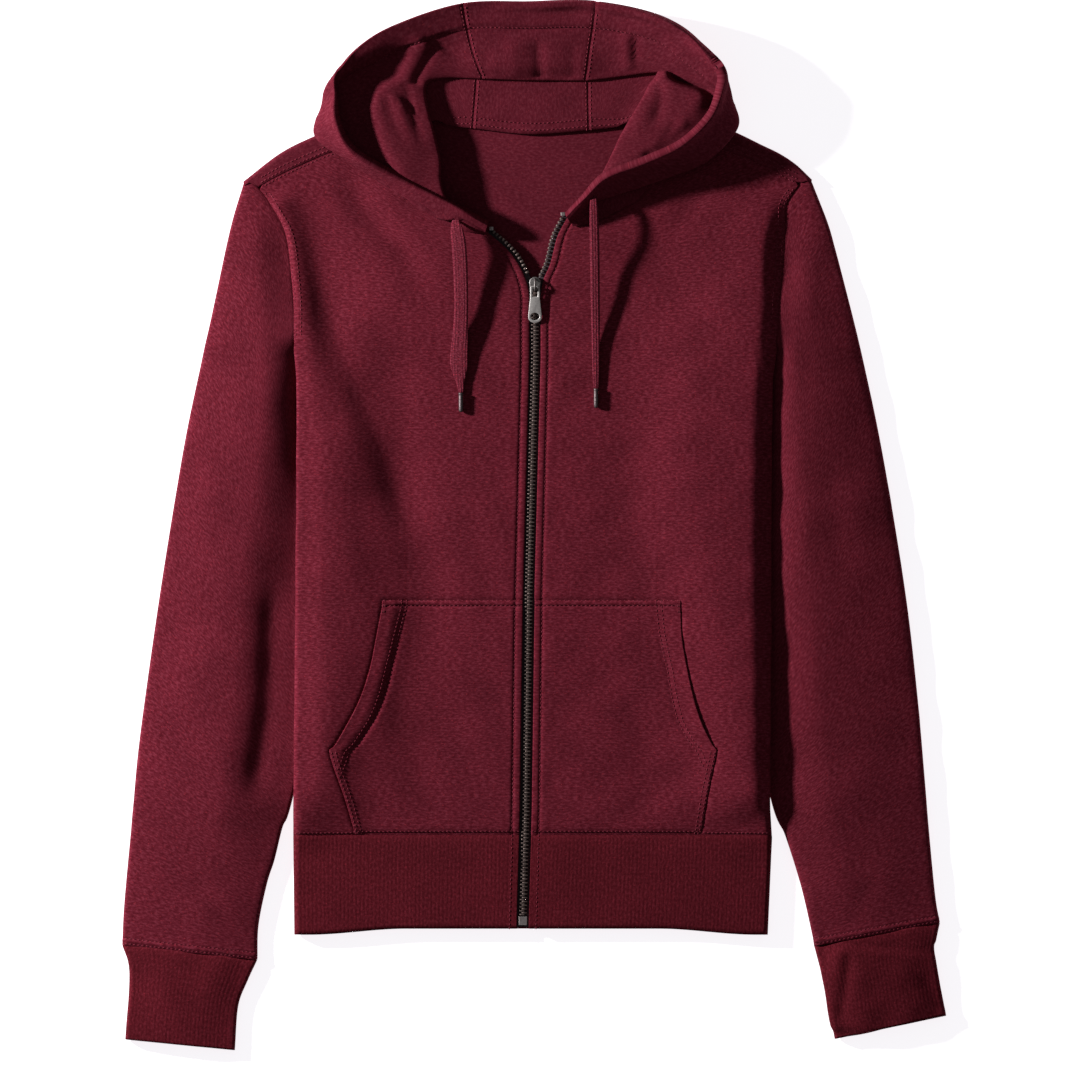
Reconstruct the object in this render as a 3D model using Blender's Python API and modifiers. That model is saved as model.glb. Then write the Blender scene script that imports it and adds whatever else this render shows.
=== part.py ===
"""Full-zip hooded sweatshirt, laid flat: fleece panels, rib bands, metal zip and drawcords.

Run it with: blender --background --python part.py

Every table is in millimetres in the garment's plan: X to the right as it lies, Y towards the
hood, Z up from the table. place() turns that into metres round the middle of the base.
Distances called "out" are measured from the middle line towards one side, so both sides share
one set of formulas. Each cloth piece is a grid of points on the middle of its wall, and a
Solidify modifier gives the wall its thickness.
"""

import math
from dataclasses import dataclass

import bmesh
import bpy
import numpy as np
from mathutils import Matrix, Vector

MM = 0.001
BASE_MIDDLE = np.array([1.3, -2.6, 0.0])

FLEECE = 2.8
HALF = FLEECE / 2
HEM_WALL = 4.6
TAPE = 1.0
SEAM = 0.3
CLEAR = 0.3
POCKET_GAP = 0.7

# Heights of the layers over the table.
TUCKED = 2 * FLEECE + 2 * CLEAR + 0.3
TUCK_MIDDLE = TUCKED - CLEAR - HALF
EDGE_MIDDLE = 5.6
CROWN_MIDDLE = 8.1
LAYER_GAP = 3.6
FOLD_GAP = 0.9
SHOULDER_GAP = 1.4
RAMP = 16.0

# Heights of the garment, from the hem to the underarm, in plan.
BAND_BOTTOM = -342.6
HEM_HOLLOW = 5.0
BAND_SEAM = -260.0
UNDERARM = 35.0
ARMHOLE_TOP = 150.0
SLIDER_Y = 198.0

CHAIN_WIDTH = 8.0
FRONT_EDGE = 5.0
TAPE_WIDTH = 16.0

# Middle of the zip chain: y, x.
CHAIN = ((-338.0, -8.1), (-236.6, -5.4), (-54.8, -2.9), (136.1, 2.2), (198.0, 2.1))

# Hood sections, from the zip's left end round to its right end. A row is one section from the
# neck seam to the rim: the neck seam, the fold that shows as an edge over it, the valley beyond
# that fold, the outer base, and the rim.
HOOD = (
    # neck x, y, z;        fold x, y, z;          valley x, y, z;        base x, y, z;          rim x, y, z
    ((-39.8, 240.2, 11.2), (-38.9, 242.4, 13.2), (-38.4, 243.7, 14.2), (-37.9, 245.2, 15.2), (-37.0, 247.8, 16.8)),
    ((-58, 242.6, 11.2), (-56.8, 248, 15.4), (-56.3, 250, 17), (-55.8, 252.4, 19), (-54.6, 257.6, 23)),
    ((-79, 250.5, 11.2), (-72.5, 266.5, 17.5), (-74.5, 262, 18), (-78, 252.5, 16.5), (-74, 268, 30)),
    ((-95.5, 272, 11.2), (-79, 285, 20), (-101, 286, 16.5), (-119, 278, 16.5), (-110, 286, 35)),
    ((-101, 298, 11), (-82.5, 303, 24), (-130, 306, 18), (-157, 303, 17), (-146.5, 307, 39)),
    ((-98, 322, 10), (-87, 330, 27), (-140, 330, 20), (-179.5, 321, 17), (-160, 330, 40)),
    ((-82, 333, 7), (-88, 355, 29), (-145, 352, 21), (-174, 344, 21), (-163, 354, 40)),
    ((-72, 330, 5), (-86, 368, 28), (-143, 372, 23), (-167, 364, 28), (-162, 373, 38.5)),
    ((-60, 328, 4.8), (-72, 370.5, 26), (-122, 382, 26), (-139, 391.5, 33), (-142.7, 395.6, 37)),
    ((-55, 327.5, 4.8), (-56, 370.8, 25.5), (-88, 390, 27), (-108, 406.5, 33), (-112, 413.4, 36.5)),
    ((-49.4, 327, 4.8), (-42, 370.5, 25), (-50, 392, 27), (-56.6, 422.5, 33.5), (-58, 430.6, 36)),
    ((-2, 322, 4.8), (-2, 369.5, 24.5), (-2, 395, 26), (-2, 424, 33.4), (-2, 431.8, 36)),
    ((46.9, 325.5, 4.8), (44.4, 369.5, 24.5), (48, 395, 26), (52, 423.5, 33.4), (53.4, 431.7, 36)),
    ((58, 326.5, 4.8), (76, 372, 24.5), (90, 389, 26), (104.5, 411, 33), (108.4, 418.4, 36.5)),
    ((70, 328, 5), (98, 374, 24.5), (118, 378, 27), (136, 390.5, 34), (140.4, 396, 37)),
    ((82, 332, 7), (107, 373, 24), (135, 367, 26), (157, 370.5, 31), (155.5, 375.5, 38)),
    ((95, 324, 10), (101, 361, 23), (138, 354, 24), (165, 349, 24), (154, 357, 38)),
    ((98, 303, 11), (90, 342, 21), (128, 333, 22), (169, 327, 18), (145, 336, 38)),
    ((97, 284, 11.2), (77, 321, 18), (108, 316, 20), (144, 300, 17), (122.5, 314.6, 37)),
    ((88, 268, 11.2), (68, 304, 16.5), (84, 303, 18), (108, 285, 16), (92.5, 300.5, 35)),
    ((68, 257, 11.2), (58.5, 286, 16.5), (60, 284, 17.5), (68, 271.5, 16), (60, 288, 31)),
    ((50, 249, 11.2), (45.5, 258.5, 15.5), (44.5, 261, 17), (43.5, 263.5, 19), (41.5, 269.5, 23)),
    ((33.5, 246, 11.2), (31, 249.8, 13.4), (30, 251.2, 14.3), (29, 252.8, 15.2), (27.5, 255, 16.5)),
)
HOOD_SEAM_ROWS = (10, 12)
CURL = 14.0
FOLD_DEPTH = 5.0


@dataclass(frozen=True)
class Side:
    """One side of the garment as it lies. Its tables hold (out, y) points in plan."""

    name: str
    sign: int
    body_edge: tuple
    armhole: tuple
    sleeve_outer: tuple
    sleeve_inner: tuple
    open_chain: tuple
    neckline: tuple
    shoulder_seam: tuple
    shoulder_top: tuple
    pocket_opening: tuple
    cuff: tuple


LEFT = Side(
    name="left",
    sign=-1,
    body_edge=((198.0, -342.0), (198.8, -262.0), (198.6, -230.0), (196.0, 35.0), (196.0, 160.0)),
    armhole=(
        (239.5, 283.0), (228.0, 278.3), (211.0, 255.0), (203.3, 235.7), (199.6, 205.0),
        (197.5, 178.0), (197.2, 150.0), (190.0, 125.0), (172.0, 88.0), (140.0, 35.0),
    ),
    sleeve_outer=(
        (239.5, 283.0), (251.0, 243.5), (266.0, 173.0), (285.0, 84.7), (296.0, 23.2), (308.3, -53.1),
        (319.1, -127.0), (327.5, -190.5), (332.7, -247.3), (339.0, -314.6), (340.9, -351.0),
    ),
    sleeve_inner=(
        (140.0, 35.0), (168.0, -90.0), (198.8, -228.3), (207.6, -254.0), (214.1, -280.5), (220.4, -300.5),
        (227.3, -334.5), (228.3, -363.5),
    ),
    open_chain=((2.0, 205.0), (10.4, 220.8), (21.0, 232.5), (34.2, 243.6)),
    neckline=((37.5, 243.4), (57.0, 246.4), (77.0, 254.6), (91.5, 274.0), (97.0, 298.0), (96.0, 318.0)),
    shoulder_seam=((227.0, 278.6), (205.0, 290.5), (170.6, 305.5), (140.0, 316.0), (118.0, 324.0)),
    shoulder_top=(
        (239.5, 283.0), (209.0, 306.5), (181.4, 320.4), (150.0, 333.0), (120.0, 343.0),
        (100.0, 345.0), (85.0, 337.0), (73.0, 332.0), (49.0, 330.0), (0.0, 325.5),
    ),
    pocket_opening=(
        (124.9, -70.5), (129.9, -95.5), (135.7, -122.8), (145.7, -151.0), (163.9, -184.3),
        (168.9, -189.0), (164.8, -205.0), (155.6, -230.7), (147.3, -258.5),
    ),
    cuff=(
        ((340.9, -351.6), (228.4, -364.1)), ((335.8, -366.0), (236.5, -381.0)),
        ((335.2, -387.0), (244.2, -402.0)), ((338.4, -429.6), (247.0, -438.6)),
    ),
)

RIGHT = Side(
    name="right",
    sign=1,
    body_edge=((195.5, -342.0), (199.0, -262.0), (197.0, -230.0), (198.0, -106.0), (199.0, 160.0)),
    armhole=(
        (231.2, 284.7), (222.0, 281.0), (212.0, 267.5), (209.6, 259.0), (208.6, 228.0),
        (205.0, 190.0), (201.5, 150.0), (193.0, 125.0), (174.0, 88.0), (141.0, 35.0),
    ),
    sleeve_outer=(
        (231.2, 284.7), (246.6, 243.5), (261.9, 186.3), (275.1, 131.1), (291.4, 51.5), (309.2, -56.4),
        (319.1, -139.4), (325.8, -214.1), (329.1, -254.0), (334.5, -309.6), (338.4, -332.4),
    ),
    sleeve_inner=(
        (141.0, 35.0), (166.0, -90.0), (197.6, -229.0), (209.8, -260.6), (222.3, -300.5),
        (231.5, -340.0), (233.6, -351.9),
    ),
    open_chain=((4.6, 202.5), (10.4, 215.8), (16.2, 238.2), (25.3, 255.6)),
    neckline=((30.3, 252.5), (49.0, 254.0), (67.0, 261.0), (84.0, 273.0), (92.0, 290.0), (93.0, 312.0)),
    shoulder_seam=((221.5, 281.5), (200.0, 292.5), (167.0, 307.0), (140.0, 316.5), (115.0, 325.0)),
    shoulder_top=(
        (231.2, 284.7), (226.0, 289.8), (217.9, 297.4), (205.0, 306.0), (189.4, 313.6), (171.9, 322.2),
        (150.0, 332.0), (120.0, 343.0),
        (100.0, 345.0), (85.0, 337.0), (73.0, 332.0), (47.0, 328.7), (0.0, 325.5),
    ),
    pocket_opening=(
        (123.3, -70.5), (124.9, -97.9), (131.6, -133.6), (139.9, -162.7), (150.6, -185.1),
        (154.0, -189.0), (147.3, -220.0), (139.9, -258.5),
    ),
    cuff=(
        ((338.4, -333.0), (233.6, -352.5)), ((335.4, -346.0), (239.0, -372.0)),
        ((334.0, -358.0), (243.4, -390.0)), ((343.6, -409.8), (250.8, -429.4)),
    ),
)


# ---------------------------------------------------------------- curves and steps


def smoothstep(value):
    """0 below 0, 1 above 1 and a smooth S between."""
    held = np.clip(value, 0.0, 1.0)
    return held * held * (3 - 2 * held)


def smooth_path(points, steps=10):
    """A dense Catmull-Rom curve through the points."""
    points = np.asarray(points, float)
    ends = np.vstack([2 * points[0] - points[1], points, 2 * points[-1] - points[-2]])
    part = np.linspace(0, 1, steps, endpoint=False)[:, None]
    pieces = []
    for before, start, stop, after in zip(ends, ends[1:], ends[2:], ends[3:]):
        bend = 2 * before - 5 * start + 4 * stop - after
        twist = 3 * start - before - 3 * stop + after
        pieces.append(start + 0.5 * ((stop - before) * part + bend * part**2 + twist * part**3))
    return np.vstack([*pieces, points[-1:]])


def resample(path, fractions):
    """Points of the path at these fractions of its length."""
    run = np.concatenate([[0.0], np.cumsum(np.linalg.norm(np.diff(path, axis=0), axis=1))])
    at = np.asarray(fractions) * run[-1]
    return np.column_stack([np.interp(at, run, axis) for axis in path.T])


def offset_path(path, distance):
    """The plan path moved sideways, to the left of its direction when distance is positive."""
    along = np.gradient(path, axis=0)
    along /= np.linalg.norm(along, axis=1)[:, None]
    return path + distance * np.column_stack([-along[:, 1], along[:, 0]])


def out_at(table, y):
    """The out distance of an (out, y) table at this y."""
    rows = sorted(table, key=lambda row: row[1])
    return np.interp(y, [row[1] for row in rows], [row[0] for row in rows])


def chain_x(y):
    return np.interp(y, [row[0] for row in CHAIN], [row[1] for row in CHAIN])


# ---------------------------------------------------------------- heights of the layers


def tuck_reach(side, y):
    """Where the sleeve tucked under the body has its inner fold."""
    return out_at(side.sleeve_inner, np.minimum(y, UNDERARM))


def lift(side, out, y):
    """How far the tucked sleeve raises the body's lower layer."""
    return TUCKED * smoothstep((out - tuck_reach(side, y) + RAMP + 2) / RAMP)


def shoulder_distance(side, out, y):
    """How far a point lies below the shoulder's top edge."""
    return out_at([(top, at) for at, top in side.shoulder_top], out) - y


def layer_gap(side, out, y):
    """The air between the body's two layers: least in the side folds and along the shoulders."""
    toward_fold = smoothstep((out - 110) / 70) * smoothstep((y + 160) / 160)
    open_gap = LAYER_GAP + (FOLD_GAP - LAYER_GAP) * toward_fold
    below = smoothstep((shoulder_distance(side, out, y) - 18) / 60)
    return SHOULDER_GAP + (open_gap - SHOULDER_GAP) * below


def top_height(side, out, y):
    """The front's upper face."""
    reach = tuck_reach(side, y)
    kept = smoothstep((y + 285) / 55) * (1 - smoothstep((y - 143) / 75))
    rise = TUCKED * smoothstep((out - reach + 80) / 70) * kept
    return rise + 2 * FLEECE + layer_gap(side, out, y)


# ---------------------------------------------------------------- Blender helpers


def clear_scene():
    for obj in list(bpy.data.objects):
        bpy.data.objects.remove(obj, do_unlink=True)


def place(points):
    return (np.asarray(points, float) - BASE_MIDDLE) * MM


def finish_material(name, colour, roughness, metallic=0.0):
    material = bpy.data.materials.new(name)
    material.use_nodes = True
    shader = material.node_tree.nodes["Principled BSDF"]
    shader.inputs["Base Color"].default_value = (*colour, 1.0)
    shader.inputs["Roughness"].default_value = roughness
    shader.inputs["Metallic"].default_value = metallic
    return material


def add_object(name, data, material):
    obj = bpy.data.objects.new(name, data)
    if not data.materials:
        data.materials.append(material)
    GARMENT.objects.link(obj)
    return obj


def sheet(name, rows, material, thickness=FLEECE, ring=False, hem_rows=None):
    """A cloth wall from a grid of middle points. ring joins each row's last point to its first.

    hem_rows holds each point's share of the way from the plain wall to the doubled hem.
    """
    rows = np.asarray(rows, float)
    count, across = rows.shape[:2]
    span = across if ring else across - 1
    faces = []
    for row in range(count - 1):
        for column in range(span):
            here = row * across
            beside = (column + 1) % across
            faces.append((here + column, here + beside, here + across + beside, here + across + column))
    mesh = bpy.data.meshes.new(name)
    mesh.from_pydata([tuple(point) for point in place(rows.reshape(-1, 3))], [], faces)
    mesh.shade_smooth()
    obj = add_object(name, mesh, material)
    wall = obj.modifiers.new("cloth wall", "SOLIDIFY")
    wall.thickness = thickness * MM
    wall.offset = 0.0
    wall.use_rim = True
    if hem_rows is not None:
        group = obj.vertex_groups.new(name="hem")
        for index, weight in enumerate(np.asarray(hem_rows).reshape(-1)):
            group.add([index], float(weight), "REPLACE")
        wall.vertex_group = "hem"
        wall.thickness_vertex_group = FLEECE / thickness
    return obj


def box(name, centre, size, material, bevel=0.0):
    """A block of this size in mm, with its edges rounded when bevel is given."""
    bpy.ops.mesh.primitive_cube_add(size=1.0, location=tuple(place(centre)))
    obj = bpy.context.object
    obj.name = name
    obj.data.name = name
    obj.scale = [length * MM for length in size]
    bpy.ops.object.transform_apply(location=False, rotation=False, scale=True)
    obj.data.materials.append(material)
    for collection in list(obj.users_collection):
        collection.objects.unlink(obj)
    GARMENT.objects.link(obj)
    if bevel:
        rounding = obj.modifiers.new("rounded edges", "BEVEL")
        rounding.width = bevel * MM
        rounding.segments = 2
    return obj


def outline_plate(name, loops, thickness, material):
    """A flat plate from closed plan outlines in mm; later loops are holes in the first."""
    curve = bpy.data.curves.new(name, "CURVE")
    curve.dimensions = "2D"
    curve.fill_mode = "BOTH"
    curve.extrude = thickness * MM / 2
    for loop in loops:
        spline = curve.splines.new("POLY")
        spline.points.add(len(loop) - 1)
        spline.use_cyclic_u = True
        for point, (x, y) in zip(spline.points, loop):
            point.co = (x * MM, y * MM, 0.0, 1.0)
    return add_object(name, curve, material)


def joined(points_out, side):
    """(out, y, z) rows to (x, y, z)."""
    return np.asarray(points_out, float) * (side.sign, 1, 1)


# ---------------------------------------------------------------- body panels

TOP_SHARE = 0.9
PATH_END = 3.0
ROW_MARKS = np.concatenate(
    [np.linspace(0, TOP_SHARE, 10), [1.0, 1.2, 1.4, 1.6, 1.8, 2.0], [2.34, 2.67, PATH_END]]
)


def fold_row(side, y, out_zip, out_seam, last=PATH_END, marks=ROW_MARKS):
    """One level of the front: upper layer, round the side fold, and under to the side seam.

    last says how far along that path the row ends: 1 at the end of the upper layer, 2 past the
    fold and 3 at the seam underneath.
    """
    edge = out_at(side.body_edge, y)
    near = edge - 4
    high = top_height(side, near, y) - HALF
    low = lift(side, near, y) + HALF
    radius = (high - low) / 2
    centre = edge - HALF - radius
    points = []
    for mark in marks:
        if mark > TOP_SHARE:
            mark = TOP_SHARE + (mark - TOP_SHARE) * (last - TOP_SHARE) / (PATH_END - TOP_SHARE)
        if mark <= 1:
            out = out_zip + (centre - out_zip) * mark
            points.append((out, y, top_height(side, out, y) - HALF))
        elif mark <= 2:
            turn = math.pi * (mark - 1.5)
            across = radius * math.cos(turn)
            points.append((centre + across, y, low + radius - radius * math.sin(turn)))
        else:
            out = centre + (out_seam - centre) * (mark - 2)
            points.append((out, y, lift(side, out, y) + HALF))
    return points


def side_seam(side, y):
    """Where the side seam lies under the body."""
    return np.interp(y, (BAND_BOTTOM, BAND_SEAM, UNDERARM), (189.0, 188.0, side.armhole[-1][0]))


def zip_out(side, y):
    """The front's edge beside the closed chain."""
    return side.sign * chain_x(y) + FRONT_EDGE


def armhole(side, distance=0.0):
    """The armhole's corners from the underarm to the shoulder, moved outwards by distance.

    The body panels and the sleeve share these corners, so their facets meet along the seam.
    """
    path = smooth_path(side.armhole)[::-1]
    low = [(np.interp(y, path[:, 1], path[:, 0]), y) for y in ARMHOLE_LEVELS]
    upper = path[(path[:, 1] >= ARMHOLE_TOP) & (path[:, 0] <= side.shoulder_seam[0][0])]
    corners = np.vstack([low, resample(upper, np.linspace(0, 1, FAN_ROWS))[1:], path[-1:]])
    return offset_path(corners, -distance)


def armhole_out(side, y):
    corners = armhole(side)
    return np.interp(y, corners[:, 1], corners[:, 0])


def zip_edge_path(side):
    """The front's edge along the open end of the zip, from the closed part to the zip's top."""
    start = [(side.sign * chain_x(y), y) for y in (ARMHOLE_TOP, 170.0, 188.0)]
    chain = smooth_path([*start, *side.open_chain])
    return offset_path(chain, -FRONT_EDGE)


ARMHOLE_LEVELS = (35, 55, 78, 100, 125, 137, 150)
FAN_ROWS = 6
FRONT_LEVELS = (-259.8, -235, -200, -165, -125, -85, -40, 5, 35, 55, 78, 100, 125, 131, 137, 143)
FOLD_LEVELS = (125, 131, 137, 143, 150)
FOLD_ENDS = (PATH_END, 2.0, 1.5, 1.2, 1.0)


def front(side):
    """A front panel, from the waistband seam to the neckline and the shoulder seam."""
    rows = []
    for y in FRONT_LEVELS:
        seam = side_seam(side, y) if y < UNDERARM else armhole_out(side, y)
        last = np.interp(y, FOLD_LEVELS, FOLD_ENDS)
        rows.append(joined(fold_row(side, y, zip_out(side, y), seam + SEAM / 2, last), side))
    zip_edge = zip_edge_path(side)
    upper = np.linspace(0, 1, FAN_ROWS)
    inner = np.vstack([resample(zip_edge, upper), resample(smooth_path(side.neckline), upper[1:])])
    arm = armhole(side, -SEAM)[-1 - FAN_ROWS : -1]
    outer = np.vstack([arm, resample(smooth_path(side.shoulder_seam), upper[1:])])
    beyond = (ROW_MARKS - TOP_SHARE) * (1 - TOP_SHARE) / (PATH_END - TOP_SHARE)
    spread = np.where(ROW_MARKS <= TOP_SHARE, ROW_MARKS, TOP_SHARE + beyond)
    for start, stop in zip(inner, outer):
        row = []
        for mark in spread:
            out, y = start + (stop - start) * mark
            row.append((out, y, top_height(side, out, y) - HALF))
        rows.append(joined(row, side))
    return sheet(f"front_{side.name}", rows, FLEECE_CLOTH)


def back_point(left, right, level, across):
    """A point of the back's plain part, on the table or over the tucked sleeves."""
    x = left + (right - left) * across
    side = LEFT if x < 0 else RIGHT
    fade = smoothstep((80 - level) / 45)
    return x, lift(side, abs(x), level) * fade + HALF


BACK_COLUMNS = np.concatenate([[0, 0.03, 0.06], np.linspace(0.1, 0.9, 13), [0.94, 0.97, 1.0]])
BACK_LEVELS = (-259.8, -235, -200, -165, -125, -85, -40, 5)
FOLD_RADIUS = (EDGE_MIDDLE - HALF) / 2
FOLD_TURNS = (45, 90, 135, 180, 180)


def shoulder_line(side, out):
    """The y of the shoulder's top edge."""
    return out_at([(y, at) for at, y in smooth_path(side.shoulder_top)], out)


def strip_end(side, out):
    """The y of the seam where the back's fold meets the front, and the armhole beyond it."""
    seam = np.vstack([armhole(side)[-1:], smooth_path(side.shoulder_seam)])
    return out_at([(y, at) for at, y in seam], out)


def back():
    """The back: a layer on the table that folds over the shoulders to the seams in front."""
    rows = []
    for y in BACK_LEVELS:
        ends = [side.sign * (side_seam(side, y) - 2 * SEAM) for side in (LEFT, RIGHT)]
        points = [back_point(*ends, y, across) for across in BACK_COLUMNS]
        rows.append([(x, y, z) for x, z in points])
    holes = {}
    for side in (LEFT, RIGHT):
        hole = armhole(side, -2 * SEAM)
        hole[-1] = hole[-2] + 0.6 * (hole[-1] - hole[-2])
        holes[side.sign] = hole
    plain = len(ARMHOLE_LEVELS)
    count = len(holes[1])
    for index in range(count):
        left, right = holes[-1][index], holes[1][index]
        share = max(0.0, (index - plain + 1) / (count - plain))
        row = []
        for across in BACK_COLUMNS:
            x, z = back_point(-left[0], right[0], (left[1] + right[1]) / 2, across)
            y = left[1] + (right[1] - left[1]) * across
            if share > 0:
                side = LEFT if x < 0 else RIGHT
                end = holes[side.sign][-1]
                top = shoulder_line(side, abs(x) * end[0] / holes[side.sign][index][0])
                chord = holes[-1][-1][1] * (1 - across) + holes[1][-1][1] * across
                y += share**1.3 * (top - HALF - FOLD_RADIUS - chord)
            row.append((x, y, z))
        rows.append(row)
    rows.extend(shoulder_fold(rows[-1]))
    return sheet("back", rows, FLEECE_CLOTH)


def shoulder_fold(base):
    """Rows that fold the back's top edge forwards, and stay flat under the hood."""
    rows = []
    for step, turn in enumerate(FOLD_TURNS):
        row = []
        for x, y, z in base:
            side = LEFT if x < 0 else RIGHT
            folded = smoothstep((abs(x) - 112) / 36)
            angle = math.radians(turn)
            over_y = y + FOLD_RADIUS * math.sin(angle)
            over_z = z + FOLD_RADIUS * (1 - math.cos(angle))
            if step == len(FOLD_TURNS) - 1:
                over_y = min(over_y - 0.8, strip_end(side, abs(x)) + 0.8)
            flat_y = y + (step + 1) * 0.6
            row.append((x, flat_y + (over_y - flat_y) * folded, z + (over_z - z) * folded))
        rows.append(row)
    return rows


BAND_MARKS = np.concatenate([np.linspace(0, TOP_SHARE, 7), [1.0, 1.25, 1.5, 1.75, 2.0, 2.5, PATH_END]])
BAND_UNDER = 150.0
BAND_MIDDLE_X = (-90.0, -30.0, 30.0, 90.0)


def hem_curve(x, y):
    """How far the waistband is pulled up here: its lower edge is hollow between the corners."""
    share = (BAND_SEAM - y) / (BAND_SEAM - BAND_BOTTOM)
    return HEM_HOLLOW * share * (1 - smoothstep((abs(x) - 105) / 80))


def waistband():
    """The rib band, one strip from the zip round the back to the zip."""
    rows = []
    for y in (BAND_SEAM - SEAM, -285.0, -313.0, BAND_BOTTOM):
        halves = []
        for side in (LEFT, RIGHT):
            row = fold_row(side, y, zip_out(side, y), BAND_UNDER, marks=BAND_MARKS)
            halves.append(joined(row, side))
        middle = [(x, y, HALF) for x in BAND_MIDDLE_X]
        row = np.vstack([halves[0], middle, halves[1][::-1]])
        row[:, 1] += [hem_curve(x, y) for x in row[:, 0]]
        rows.append(row)
    return sheet("waistband", rows, RIB_CLOTH)


def pocket(side):
    """A kangaroo pocket half: it lies on the front, from its top stitching to the waistband seam."""
    opening = np.array(side.pocket_opening)
    rows = []
    for y in (-70.5, -95, -122, -150, -170, -184.3, -189, -205, -231, -258.5):
        outer = np.interp(y, opening[::-1, 1], opening[::-1, 0])
        inner = zip_out(side, y) + 9.0
        row = []
        for mark in np.linspace(0, 1, 9):
            out = inner + (outer - inner) * mark
            row.append((out, y, top_height(side, out, y) + HALF + POCKET_GAP))
        rows.append(joined(row, side))
    return sheet(f"pocket_{side.name}", rows, FLEECE_CLOTH)


# ---------------------------------------------------------------- sleeves and cuffs


def sleeve_height(side, out, y, from_edge):
    """The middle of the sleeve's upper wall: rounded outside, low beside and under the body."""
    rounded = EDGE_MIDDLE + (CROWN_MIDDLE - EDGE_MIDDLE) * smoothstep(from_edge / 38)
    beside = out - out_at(side.body_edge, y) - 3
    low = TUCK_MIDDLE + (rounded - TUCK_MIDDLE) * smoothstep(beside / 35)
    seam = armhole_out(side, y)
    at_seam = top_height(side, seam, y) - HALF
    met = at_seam + (rounded - at_seam) * smoothstep((out - seam) / 45)
    return low + (met - low) * smoothstep((y - 137) / 20)


def tube_ring(plan, length, height, shares):
    """One ring of a flattened tube, given its plan line from the outer fold to the inner one.

    plan(share) gives (out, y), length is the line's, and height(out, y, from_edge) is the middle
    of the upper wall. shares are the corners between the two folds.
    """
    points = []

    def add(from_edge, level):
        out, y = plan(from_edge / length)
        points.append((out, y, level))

    def top_at(from_edge):
        out, y = plan(from_edge / length)
        return height(out, y, from_edge)

    outer_top = top_at(HALF)
    inner_top = top_at(length - HALF)
    outer_radius = (outer_top - HALF) / 2
    inner_radius = (inner_top - HALF) / 2
    for turn in (-90, -45, 0, 45, 90):
        angle = math.radians(turn)
        add(HALF + outer_radius * (1 - math.cos(angle)), HALF + outer_radius * (1 + math.sin(angle)))
    for share in shares:
        add(share * length, top_at(share * length))
    for turn in (90, 45, 0, -45, -90):
        angle = math.radians(turn)
        inset = HALF + inner_radius * (1 - math.cos(angle))
        add(length - inset, HALF + inner_radius * (1 + math.sin(angle)))
    for share in shares[::-1]:
        add(share * length, HALF)
    return points


SLEEVE_RINGS = 12


def sleeve(side):
    """A sleeve: a flattened tube whose first ring follows the armhole."""
    hole = armhole(side, SEAM)[::-1]
    run = np.concatenate([[0.0], np.cumsum(np.linalg.norm(np.diff(hole, axis=0), axis=1))])
    shares = run / run[-1]
    bend = hole - (hole[0] + (hole[-1] - hole[0]) * shares[:, None])
    outer = resample(smooth_path([hole[0], *side.sleeve_outer[1:]]), np.linspace(0, 1, SLEEVE_RINGS))
    inner = resample(smooth_path([hole[-1], *side.sleeve_inner[1:]]), np.linspace(0, 1, SLEEVE_RINGS))
    rings = []
    for index, (start, stop) in enumerate(zip(outer, inner)):
        keep = max(0.0, 1 - index / 3.5)

        def plan(share, start=start, stop=stop, keep=keep):
            extra = [np.interp(share, shares, bend[:, axis]) for axis in (0, 1)]
            return start + (stop - start) * share + np.array(extra) * keep

        def height(out, y, from_edge):
            return sleeve_height(side, out, y, from_edge)

        length = run[-1] if index == 0 else float(np.linalg.norm(stop - start))
        rings.append(joined(tube_ring(plan, length, height, shares[1:-1]), side))
    return sheet(f"sleeve_{side.name}", rings, FLEECE_CLOTH, ring=True)


CUFF_SHARES = np.linspace(0.1, 0.9, 7)


def cuff(side):
    """A rib cuff: a short flattened tube at the sleeve's end."""
    rings = []
    for start, stop in side.cuff:
        start, stop = np.array(start), np.array(stop)

        def plan(share, start=start, stop=stop):
            return start + (stop - start) * share

        def height(out, y, from_edge):
            inner = float(np.linalg.norm(stop - start)) - from_edge
            return EDGE_MIDDLE + (CROWN_MIDDLE - EDGE_MIDDLE) * smoothstep(min(from_edge, inner) / 34)

        ring = tube_ring(plan, float(np.linalg.norm(stop - start)), height, CUFF_SHARES)
        rings.append(joined(ring, side))
    return sheet(f"cuff_{side.name}", rings, RIB_CLOTH, ring=True)


# ---------------------------------------------------------------- hood


def hood_sections():
    """The hood's grid: one row for each section, from the neck seam to the rim."""
    rails = []
    for neck, fold, valley, base, rim in HOOD:
        neck, fold, valley, base, rim = (np.array(point, float) for point in (neck, fold, valley, base, rim))
        away = valley[:2] - fold[:2]
        span = np.linalg.norm(away)
        share = min(1.0, span / 30)
        curl = fold.copy()
        curl[:2] += away / span * CURL * share * 0.9
        curl[2] = neck[2] + (fold[2] - neck[2]) * 0.35
        curl = curl * share + (neck + (fold - neck) * 0.4) * (1 - share)
        under = fold.copy()
        under[:2] += away / span * 1.0 * share
        under[2] -= FOLD_DEPTH * share + 0.9 * (1 - share)
        rails.append([neck, curl, under, fold, valley, base, rim])
    rails = np.array(rails)
    stations = np.stack([smooth_path(rails[:, rail], 2) for rail in range(rails.shape[1])], axis=1)
    steps = 3
    rows = np.array([smooth_path(row, steps) for row in stations])
    hem = np.zeros(rows.shape[:2])
    hem[:, -1] = 1.0
    hem[:, -2] = 0.7
    return rows, hem


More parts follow.
